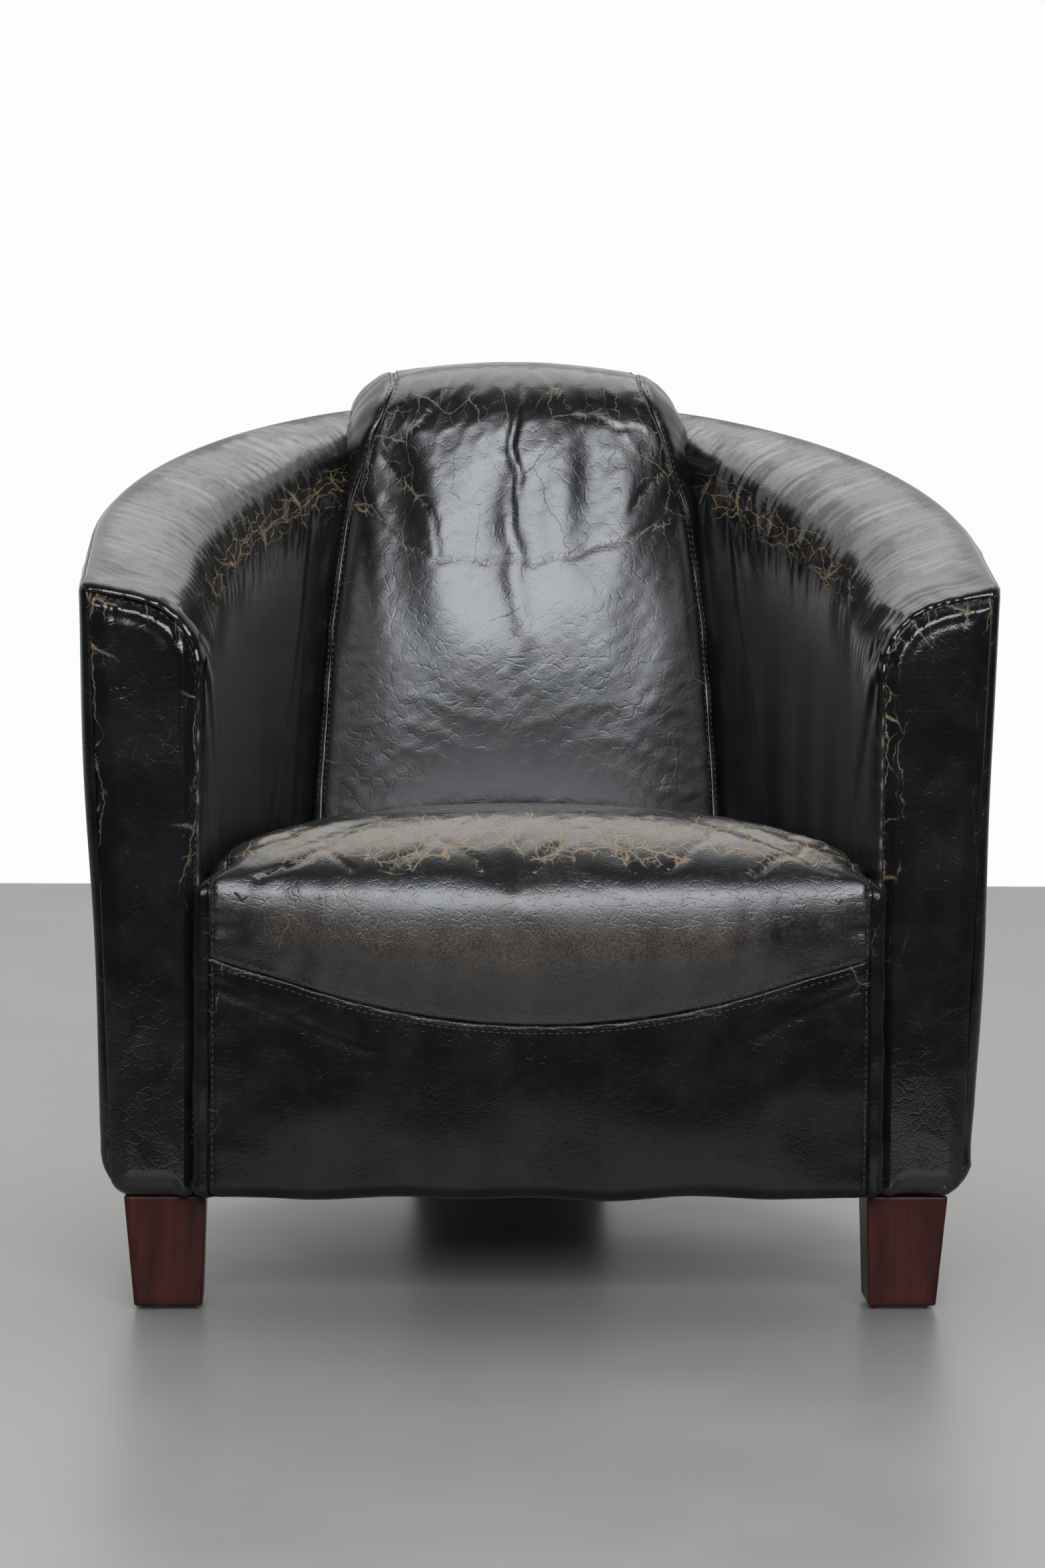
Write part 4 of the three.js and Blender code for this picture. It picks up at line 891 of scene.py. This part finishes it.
def buildArmInside(name, side):
    wrapRows = 0.035
    rows = np.concatenate([np.linspace(0, wrapRows, 9)[:-1], np.linspace(wrapRows, 1, 190)])
    columns = np.concatenate([
        np.linspace(0, 0.04, 8)[:-1], np.linspace(0.04, 0.40, 60)[:-1], np.linspace(0.40, 1, 66)])
    u, v = field(columns, rows)
    hint = (-side, 0, 0.8)
    grid, t, _ = armSurface(side, insideSection, u, v, wrapRows, 0.010)
    length = t + 0.012 * np.clip(v / wrapRows, 0, 1) - 0.008
    fromFront = np.maximum(length + 0.004, 0)
    fromOuter = u / armForm["overShare"] * armForm["overRun"]
    hold = np.maximum(1 - ramp(0.004, 0.02, np.minimum(fromFront, fromOuter)),
                      np.maximum(ramp(0.9, 0.98, u), ramp(0.8, 0.93, v)))
    grid = inflated(name + "Arm", grid, hint, hold, armPadding)
    over = ramp(0.0, 0.05, u) * (1 - ramp(0.3, 0.42, u))
    rim = hill(u, 0.31, 0.055)
    seed = 60 + side
    across = 0.00025 * folds(seed, 6, t / 0.022, u / 1.1) * over \
        + 0.00018 * waves(seed + 2, 8, t / 0.012, u / 0.5) * over
    broad = 0.0012 * waves(seed + 4, 4, t / 0.11, u / 0.9)
    pulls = 0.0007 * folds(seed + 6, 4, (t + 0.22 * u) / 0.05, u / 1.4) * rim * ramp(0.15, 0.4, t)
    gather = gathers(u * 0.4, fromFront, seed + 8, 0.017, 0.0011, 0.014) * ramp(0.03, 0.1, u)
    tuckIn = -0.004 * ramp(0.92, 1.0, v) * ramp(0.0, 0.05, u)
    loose = ramp(0.002, 0.02, fromOuter)
    bead = (0.0012 * hill(fromOuter, 0.0035, 0.0026) - 0.0012 * hill(fromOuter, 0.0, 0.0018)) * ramp(0.004, 0.02, t)
    dips = (seamDips(fromFront, 0.0014, 0.003) + 0.0008 * hill(fromFront, 0.006, 0.004)) * ramp(0.01, 0.05, u)
    grid = pushed(grid, hint, (across + broad + pulls + gather) * loose + tuckIn + bead + dips)
    piece, order = panelMesh(name + "Arm", grid, hint)
    back = ramp(0.02, 0.25, t)
    strong = {"left": 1.0, "right": 0.85}[name]
    uneven = 0.12 * waves(seed + 10, 5, t / 0.12, u / 0.25)
    cracked = strong * ((0.72 + uneven) * rim * back + 0.22 * over) + 0.15 * np.exp(-fromFront / 0.03)
    cracked = np.maximum(cracked, 0.4 * ramp(0.34, 0.4, u) * (1 - ramp(0.5, 0.75, u)) * back)
    cracked = np.maximum(cracked, 0.18)
    cracked = np.maximum(cracked, 0.62 * np.exp(-fromFront / 0.012) * ramp(0.3, 0.4, u) * (1 - ramp(0.8, 0.95, u)))
    rubbed = 0.5 * over * hill(t, 0.34, 0.22) * {"left": 0.7, "right": 1.0}[name]
    # pale grey over the arm tops: partly dust, partly a painted sheen for the grazing reflection of the pale room
    # behind the chair
    dusty = 0.9 * ramp(0.0, 0.06, u) * (1 - ramp(0.09, 0.31, u)) * ramp(0.01, 0.12, t)
    dull = ramp(0.34, 0.5, u)
    paint(piece, order, lengthAcross(grid) + side, t, cracked=cracked, rubbed=rubbed, dusty=dusty, dull=dull)
    backed(piece, order, 0.02, 1 - 0.85 * ramp(0.75, 0.9, v))  # thin where the arm runs into the back
    fitted(piece, armLeather, [name + "_arm_inside_panel", name + "_arm_foam"])


def buildArmOutside(name, side):
    wrapRows = 0.03
    rows = np.concatenate([np.linspace(0, wrapRows, 7)[:-1], np.linspace(wrapRows, 1, 150)])
    columns = np.concatenate([
        np.linspace(0, 0.05, 8)[:-1], np.linspace(0.05, 0.82, 70)[:-1], np.linspace(0.82, 1, 22)])
    u, v = field(columns, rows)
    hint = (side, 0, 0)
    grid, t, _ = armSurface(side, outsideSection, u, v, wrapRows, 0.006)
    seed = 80 + side
    fromTop = u * 0.5
    slack = 0.0011 * waves(seed, 5, t / 0.17, u / 0.5) \
        + 0.0007 * folds(seed + 2, 4, t / 0.09, u / 0.12) * ramp(0.7, 0.85, u)
    gather = gathers(t, fromTop, seed + 4, 0.035, 0.0009, 0.02)
    hem = 0.0013 * waves(seed + 6, 4, t / 0.12) * ramp(0.8, 0.88, u)
    dips = -0.0012 * hill(fromTop, 0.0, 0.0018) + 0.0006 * hill(fromTop, 0.004, 0.003)
    shown = 1 - ramp(0.9, 0.94, u)  # the rest turns in under the frame
    grid = pushed(grid, hint, ((slack + gather) * ramp(0.002, 0.02, fromTop) + hem) * shown + dips)
    grid[..., 2] += 0.001 * (1 - shown)
    piece, order = panelMesh(name + "ArmOutside", grid, hint)
    cracked = 0.2 + 0.3 * np.exp(-fromTop / 0.02) + 0.3 * np.exp(-t / 0.012) + 0.25 * ramp(0.78, 0.86, u)
    rubbed = 0.3 * ramp(0.8, 0.9, u)
    paint(piece, order, lengthAcross(grid) + side, t, cracked=cracked, rubbed=rubbed, dusty=0.1 + 0 * u)
    backed(piece, order, 0.003)
    fitted(piece, armLeather, [name + "_arm_outside_panel"])


def buildFacing(name, side):
    inset = armForm["wrap"]
    top = armForm["topFront"]
    roll = armForm["roll"]
    u, v = field(np.linspace(0, 1, 46), edged(150, 0.45))
    turn = np.clip((u - 0.36) / 0.64, 0, 1) * math.pi / 2
    level = inset + np.minimum(u / 0.36, 1) * (tub["wall"] - roll - inset) + (roll - inset) * np.sin(turn)
    upper = top - inset - (roll - inset) * (1 - np.cos(turn)) - topSlope(level)
    hem = armForm["hem"]
    lower = armForm["floor"] + hem - np.sqrt(np.maximum(hem ** 2 - np.maximum(hem - level, 0) ** 2, 0))
    z = mixed(lower, upper, v)
    lean = armForm["lean"] * (top - z) / (top - armForm["floor"])
    span = tub["wall"] - 2 * inset
    p = lean + level - lean * (level - inset) / span
    bottom = np.maximum(inset - (z - lower), 0)
    y = tub["front"] + inset - np.sqrt(np.maximum(inset ** 2 - bottom ** 2, 0))
    grid = np.stack([side * (tub["half"] - p), y, z], -1)
    seamNear = np.maximum(roll - inset - np.hypot(np.maximum(p - tub["wall"] + roll, 0), np.maximum(
        z - top + roll + topSlope(level), 0)), 0)
    outer = p - lean - inset
    seed = 100 + side
    along = mixed(p * 1.2, tub["wall"] * 1.2 + (top - roll - z), ramp(0.7, 1.0, u))
    puff = 0.0045 * ramp(0.0, 0.022, np.minimum(np.minimum(seamNear, outer + 0.006), z - lower))
    strip = 0.0022 * hill(seamNear, 0.009, 0.005)
    gather = 0.0015 * waves(seed, 4, along / 0.013) * np.exp(-seamNear / 0.010) \
        * ramp(0.001, 0.006, seamNear) * ramp(0.4, 0.52, z)
    slack = 0.0008 * waves(seed + 2, 5, p / 0.14, z / 0.2) + 0.00015 * folds(seed + 4, 4, p / 0.06, z / 0.1)
    dips = seamDips(seamNear, 0.0014, 0.003) + seamDips(outer, 0.0005, 0.002)
    hint = (0, -1, 0)
    grid = pushed(grid, hint, (puff + strip + gather + slack) * ramp(0.0, 0.004, seamNear) + dips)
    piece, order = panelMesh(name + "ArmFacing", grid, hint)
    inner = {"left": 0.42, "right": 0.56}[name]
    edge = {"left": 0.5, "right": 0.2}[name]
    cracked = inner * np.exp(-seamNear / 0.02) * ramp(0.2, 0.36, z) \
        + edge * np.exp(-outer / 0.012) * ramp(0.3, 0.4, z) + 0.2
    paint(piece, order, p + side, z, cracked=cracked, rubbed=0.2 * np.exp(-seamNear / 0.01), dusty=0.1 + 0 * z)
    backed(piece, order, 0.008)
    fitted(piece, armLeather, [name + "_arm_facing", name + "_facing_pad"])
    return grid


for build in (buildArmInside, buildArmOutside):
    for name, side in sides.items():
        build(name, side)
facingGrids = {name: buildFacing(name, side) for name, side in sides.items()}
print("arms made")


# stitching: one small thread modelled once, then laid along each seam

stitchForm = {"pitch": 0.0058, "length": 0.0044, "radius": 0.00045}


def stitchModel():  # one stitch along x, domed at its ends
    bpy.ops.object.select_all(action="DESELECT")
    bpy.ops.mesh.primitive_cylinder_add(vertices=6, radius=stitchForm["radius"], depth=stitchForm["length"],
                                        end_fill_type="TRIFAN", rotation=(0, math.pi / 2, 0))
    stitch = bpy.context.object
    bpy.ops.object.transform_apply(rotation=True)
    bpy.ops.object.mode_set(mode="EDIT")
    bpy.ops.mesh.select_all(action="SELECT")
    bpy.ops.mesh.bisect(plane_co=(0.0011, 0, 0), plane_no=(1, 0, 0))
    bpy.ops.mesh.select_all(action="SELECT")
    bpy.ops.mesh.bisect(plane_co=(-0.0011, 0, 0), plane_no=(1, 0, 0))
    bpy.ops.object.mode_set(mode="OBJECT")
    co = coordsOf(stitch.data)
    ends = np.abs(co[:, 0]) > 0.002
    co[ends, 1:] *= 0.6
    co[:, 2] -= stitchForm["radius"] * 1.5 * ends  # the ends sink into the leather
    faces = [tuple(face.vertices) for face in stitch.data.polygons]
    bpy.ops.object.delete()
    return co, faces


stitchShape, stitchFaces = stitchModel()


def rowAt(grid, hint, edge, offset):  # a line on the panel, offset in from one of its edges
    turned = grid.transpose(1, 0, 2)
    lines = {"u0": grid, "u1": grid[:, ::-1], "v0": turned, "v1": turned[:, ::-1]}[edge]
    normals = normalsOf(grid, hint)
    ups = {"u0": normals, "u1": normals[:, ::-1], "v0": normals.transpose(1, 0, 2),
           "v1": normals.transpose(1, 0, 2)[:, ::-1]}[edge]
    step = np.linalg.norm(np.diff(lines[:, :40], axis=1), axis=2)
    run = np.concatenate([np.zeros((len(lines), 1)), np.cumsum(step, axis=1)], axis=1)
    points, outs = [], []
    for k in range(len(lines)):
        points.append([np.interp(offset, run[k], lines[k, :40, a]) for a in range(3)])
        outs.append([np.interp(offset, run[k], ups[k, :40, a]) for a in range(3)])
    return np.array(points), np.array(outs)


def stitchRow(points, outs, keep=(0, 1), pitch=None):  # the places of the stitches along one line
    pitch = pitch or stitchForm["pitch"]
    step = np.linalg.norm(np.diff(points, axis=0), axis=1)
    run = np.concatenate([[0], np.cumsum(step)])
    places = np.arange(keep[0] * run[-1] + pitch, keep[1] * run[-1] - pitch, pitch)
    at = np.stack([np.interp(places, run, points[:, a]) for a in range(3)], -1)
    up = np.stack([np.interp(places, run, outs[:, a]) for a in range(3)], -1)
    ahead = np.stack([np.interp(places + 0.001, run, points[:, a]) for a in range(3)], -1) - \
        np.stack([np.interp(places - 0.001, run, points[:, a]) for a in range(3)], -1)
    ahead /= np.linalg.norm(ahead, axis=1, keepdims=True)
    up -= ahead * (up * ahead).sum(1, keepdims=True)
    up /= np.linalg.norm(up, axis=1, keepdims=True)
    return at, ahead, up


def sewn(name, rows, look, seed):
    rng = np.random.default_rng(seed)
    points, faces = [], []
    for at, ahead, up in rows:
        across = np.cross(up, ahead)
        for place, a, c, n in zip(at, ahead, across, up):
            size = rng.uniform(0.88, 1.08, 3)
            lean = rng.uniform(-0.12, 0.12)
            local = stitchShape * size
            first = len(points) * len(stitchShape)
            body = place + np.outer(local[:, 0], a + c * lean) + np.outer(local[:, 1], c) \
                + np.outer(local[:, 2] + 0.0002, n)
            points.append(body)
            faces.extend(tuple(i + first for i in face) for face in stitchFaces)
    mesh = bpy.data.meshes.new(name)
    mesh.from_pydata(np.concatenate(points).tolist(), [], faces)
    piece = bpy.data.objects.new(name, mesh)
    scene.collection.objects.link(piece)
    only(piece)
    bpy.ops.object.shade_smooth()
    bpy.ops.object.mode_set(mode="EDIT")
    bpy.ops.mesh.select_all(action="SELECT")
    bpy.ops.mesh.normals_make_consistent(inside=False)
    bpy.ops.object.mode_set(mode="OBJECT")
    fitted(piece, look, [])
    print(name, len(points), "stitches")


apronHint = (0, -1, 0)
sewn("frontSeamPale", [stitchRow(*rowAt(apronGrid, apronHint, "v1", 0.0015), keep=(0.01, 0.99))],
     paleThread, 1)
sewn("frontSeamDark", [
    stitchRow(*rowAt(seatGrid, seatHint, "v0", 0.004), keep=(0.01, 0.99)),
    stitchRow(*rowAt(apronGrid, apronHint, "v1", 0.006), keep=(0.01, 0.99)),
    *[stitchRow(*rowAt(apronGrid, apronHint, edge, 0.0035), keep=(0.25, 1)) for edge in ("u0", "u1")],
    *[stitchRow(*rowAt(seatGrid, seatHint, edge, 0.0035), keep=(0, 0.8)) for edge in ("u0", "u1")],
], darkThread, 2)
sewn("backSeams", [
    *[stitchRow(*rowAt(backGrid, backHint, edge, 0.0038), keep=(0.03, 0.99)) for edge in ("u0", "u1")],
    *[stitchRow(*rowAt(backBoxing[name], (side, 0, 0), "u0", 0.0038), keep=(0.03, 0.99))
      for name, side in sides.items()],
], darkThread, 3)
sewn("facingSeams", [
    *[stitchRow(*rowAt(facingGrids[name], apronHint, "v1", 0.0035)) for name in sides],
    *[stitchRow(*rowAt(facingGrids[name], apronHint, "u1", 0.0035), keep=(0.1, 1)) for name in sides],
], darkThread, 4)
print("seams stitched")


# legs and rear foot

legForm = {"bevel": 0.0022, "cuts": 14, "chip": 0.0011}


def turnedLeg(name, node, slope):  # a tapered block with softened, chipped edges
    low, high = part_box(node)
    size = high - low
    bpy.ops.object.select_all(action="DESELECT")
    bpy.ops.mesh.primitive_cube_add(size=1, location=(low + high) / 2, scale=size)
    piece = bpy.context.object
    piece.name = name
    bpy.ops.object.transform_apply(location=True, rotation=False, scale=True)
    for vertex in piece.data.vertices:  # the foot is drawn in to its taper
        if vertex.co.z < (low.z + high.z) / 2:
            vertex.co.x += slope["low"] if vertex.co.x < (low.x + high.x) / 2 else -slope["high"]
            vertex.co.y += slope["front"] if vertex.co.y < (low.y + high.y) / 2 else -slope["rear"]
    bpy.ops.object.mode_set(mode="EDIT")
    bpy.ops.mesh.select_all(action="SELECT")
    bpy.ops.mesh.bevel(offset=legForm["bevel"], segments=3, affect="EDGES")
    bpy.ops.mesh.select_all(action="SELECT")
    bpy.ops.mesh.subdivide(number_cuts=legForm["cuts"])
    bpy.ops.object.mode_set(mode="OBJECT")
    co = coordsOf(piece.data)
    fall = np.clip((high.z - co[:, 2]) / size.z, 0, 1)
    left = co[:, 0] - low.x - slope["low"] * fall
    right = high.x - slope["high"] * fall - co[:, 0]
    front = co[:, 1] - low.y - slope["front"] * fall
    rear = high.y - slope["rear"] * fall - co[:, 1]
    foot = co[:, 2] - low.z
    near = np.sort(np.stack([left, right, front, rear, foot]), axis=0)[1]  # distance to the nearest edge
    rough = waves(len(name), 7, co[:, 0] / 0.011, co[:, 1] / 0.011, co[:, 2] / 0.013)
    bite = np.clip(rough - 0.75, 0, 1) * np.exp(-near / 0.002) * (0.4 + 0.6 * np.exp(-foot / 0.02))
    middle = np.array([(low.x + high.x) / 2, (low.y + high.y) / 2, 0])
    inward = middle - co
    inward[:, 2] = 0
    inward /= np.maximum(np.linalg.norm(inward, axis=1, keepdims=True), 1e-9)
    setCoords(piece, co + inward * (bite * legForm["chip"] * 2)[:, None])
    layer = piece.data.attributes.new("chipped", "FLOAT", "POINT")
    layer.data.foreach_set("value", np.clip(bite * 1.6 + 0.35 * np.exp(-near / 0.0015), 0, 1).astype(np.float32))
    bpy.ops.object.shade_smooth_by_angle(angle=math.radians(40))
    fitted(piece, stainedWood, [node])


turnedLeg("leftLeg", "left_front_leg", {"low": 0.008, "high": 0.0025, "front": 0.003, "rear": 0.008})
turnedLeg("rightLeg", "right_front_leg", {"low": 0.0025, "high": 0.008, "front": 0.003, "rear": 0.008})
turnedLeg("rearFoot", "rear_foot", {"low": 0.006, "high": 0.006, "front": 0.006, "rear": 0.006})
print("legs made")


# carried-over frame nodes

frameTimber = plainLook("frameTimber", (0.36, 0.22, 0.1), (0.58, 0.41, 0.22), 22.0, (1.0, 1.0, 0.2), 0.6, 0.0004)
foamLook = plainLook("foam", (0.6, 0.52, 0.3), (0.76, 0.68, 0.45), 160.0, None, 0.8, 0.0008)
blackCloth = plainLook("blackCloth", (0.006, 0.006, 0.006), (0.02, 0.02, 0.02), 420.0, None, 0.75, 0.0003)
springSteel = plainLook("springSteel", (0.2, 0.2, 0.2), (0.38, 0.37, 0.36), 90.0, None, 0.3, 0.0001, 1.0)
nylon = plainLook("nylon", (0.014, 0.014, 0.014), (0.03, 0.03, 0.03), 240.0, None, 0.45, 0.0001)
nodeLooks = {
    "arm_leather": armLeather, "back_leather": backLeather, "seat_leather": seatLeather, "stained_wood": stainedWood,
    "frame_timber": frameTimber, "foam": foamLook, "black_cloth": blackCloth,
    "spring_steel": springSteel, "nylon": nylon,
}
for part in frame["record"]["subparts"]:
    node = frame["nodes"][part["node"]]
    node.data.materials.clear()
    node.data.materials.append(nodeLooks[part["material_slot"]])
print("frame nodes finished")


# dust cover: spun cloth pulled over the underside, a little slack in the middle

dustForm = {"half": 0.307, "front": -0.3164, "rear": 0.259, "curve": -0.185, "reach": 0.5074, "height": 0.0921,
            "sag": 0.005, "thickness": 0.0008, "area": 0.3128}


def buildDustCover():
    u, v = field(np.linspace(-1, 1, 76), np.linspace(0, 1, 70))
    y = mixed(dustForm["front"], dustForm["rear"], v)
    half = dustForm["half"] * np.sqrt(1 - np.clip((y - dustForm["curve"]) / dustForm["reach"], 0, 1) ** 2)
    x = u * half
    edge = np.minimum(half - np.abs(x), np.minimum(y - dustForm["front"], dustForm["rear"] - y))
    slack = ramp(0.06, 0.2, edge) * (dustForm["sag"] + 0.0009 * waves(91, 6, x / 0.1, y / 0.12))
    grid = np.stack([x, y, dustForm["height"] - slack], -1)
    piece, order = panelMesh("dustCover", grid, (0, 0, -1))
    backed(piece, order, dustForm["thickness"])
    fitted(piece, blackCloth, ["dust_cover"])


buildDustCover()
print("dust cover made")


# floor, light and camera

studio = {
    "floor": (0.32, 0.325, 0.305), "floorSize": (8.0, 3.9), "floorRear": 2.76, "white": 0.98, "ambient": 0.24,
    "key": {"place": (0.25, -3.9, 1.95), "aim": (0, 0, 0.5), "size": (3.3, 1.6), "watts": 140,
            "tint": (0.91, 0.945, 1.0)},
    "top": {"place": (-0.2, 0.9, 3.2), "aim": (0, 0, 0.3), "size": (3.4, 2.6), "watts": 58, "tint": (1.0, 1.0, 1.0)},
}
bpy.ops.object.select_all(action="DESELECT")
floorPlace = (0, studio["floorRear"] - studio["floorSize"][1] / 2, 0)
bpy.ops.mesh.primitive_plane_add(size=1, location=floorPlace)
floor = bpy.context.object
floor.scale = (*studio["floorSize"], 1)
bpy.ops.object.transform_apply(location=True, rotation=False, scale=True)
floor.name = "floor"
floorLook, floorWire, floorCoords = newLook("paleFloor")
cloud = noise(floorWire, floorCoords, 3.0, 4.0, 0.6)
darker, lighter = (tuple(c * share for c in studio["floor"]) for share in (0.96, 1.04))
floorColour = cloud.limited(0.3, 0.7).blended(darker, lighter)
floorBump = floorWire.node("Bump", None, {"Strength": 0.05, "Distance": 0.001, "Height": cloud})
finishLook(floorWire, floorColour, cloud * 0.15 + 0.3, floorBump)
floor.data.materials.append(floorLook)

world = bpy.data.worlds.new("studio")
scene.world = world
world.use_nodes = True
sky = Wire(world.node_tree)
world.node_tree.nodes.clear()
ray = sky.node("LightPath")
isCamera = Wire(sky.tree, ray.socket.node.outputs["Is Camera Ray"])
isGlossy = Wire(sky.tree, ray.socket.node.outputs["Is Glossy Ray"])
way = sky.node("TexCoord", out=0)
parts = sky.node("SeparateXYZ", None, {"Vector": way})
wayY = Wire(sky.tree, parts.socket.node.outputs["Y"])
wayZ = Wire(sky.tree, parts.socket.node.outputs["Z"])
behind = (wayY + wayZ * 0.45).limited(-0.15, 0.5)  # the room is pale behind the chair and darker in front of it
seenInGloss = behind * 0.96 + 0.015
level = isCamera * studio["white"] + (1 - isCamera) * (isGlossy * seenInGloss + (1 - isGlossy) * studio["ambient"])
backdrop = sky.node("Background", None, {"Color": (1.0, 1.0, 1.0), "Strength": level})
sky.node("OutputWorld", None, {"Surface": backdrop})


def softLamp(name, lamp):
    light = bpy.data.lights.new(name, "AREA")
    light.shape = "RECTANGLE"
    light.size, light.size_y = lamp["size"]
    light.energy = lamp["watts"]
    light.color = lamp["tint"]
    holder = bpy.data.objects.new(name, light)
    scene.collection.objects.link(holder)
    holder.location = lamp["place"]
    aim = np.array(lamp["aim"]) - np.array(lamp["place"])
    flat = math.hypot(aim[0], aim[1])
    holder.rotation_euler = (math.atan2(flat, -aim[2]), 0, math.atan2(-aim[0], aim[1]))


softLamp("keyLamp", studio["key"])
softLamp("topLamp", studio["top"])

view = {"place": (-0.154, -3.94, 0.732), "lens": 107.0, "pitch": 4.99, "roll": -0.433, "turn": -2.18}
camera = bpy.data.cameras.new("camera")
camera.lens = view["lens"]
camera.sensor_fit = "VERTICAL"
camera.sensor_height = 36
holder = bpy.data.objects.new("camera", camera)
scene.collection.objects.link(holder)
holder.location = view["place"]
holder.rotation_euler = [math.radians(a) for a in (90 - view["pitch"], view["roll"], view["turn"])]
scene.camera = holder
scene.view_settings.view_transform = "Standard"
print("studio set")
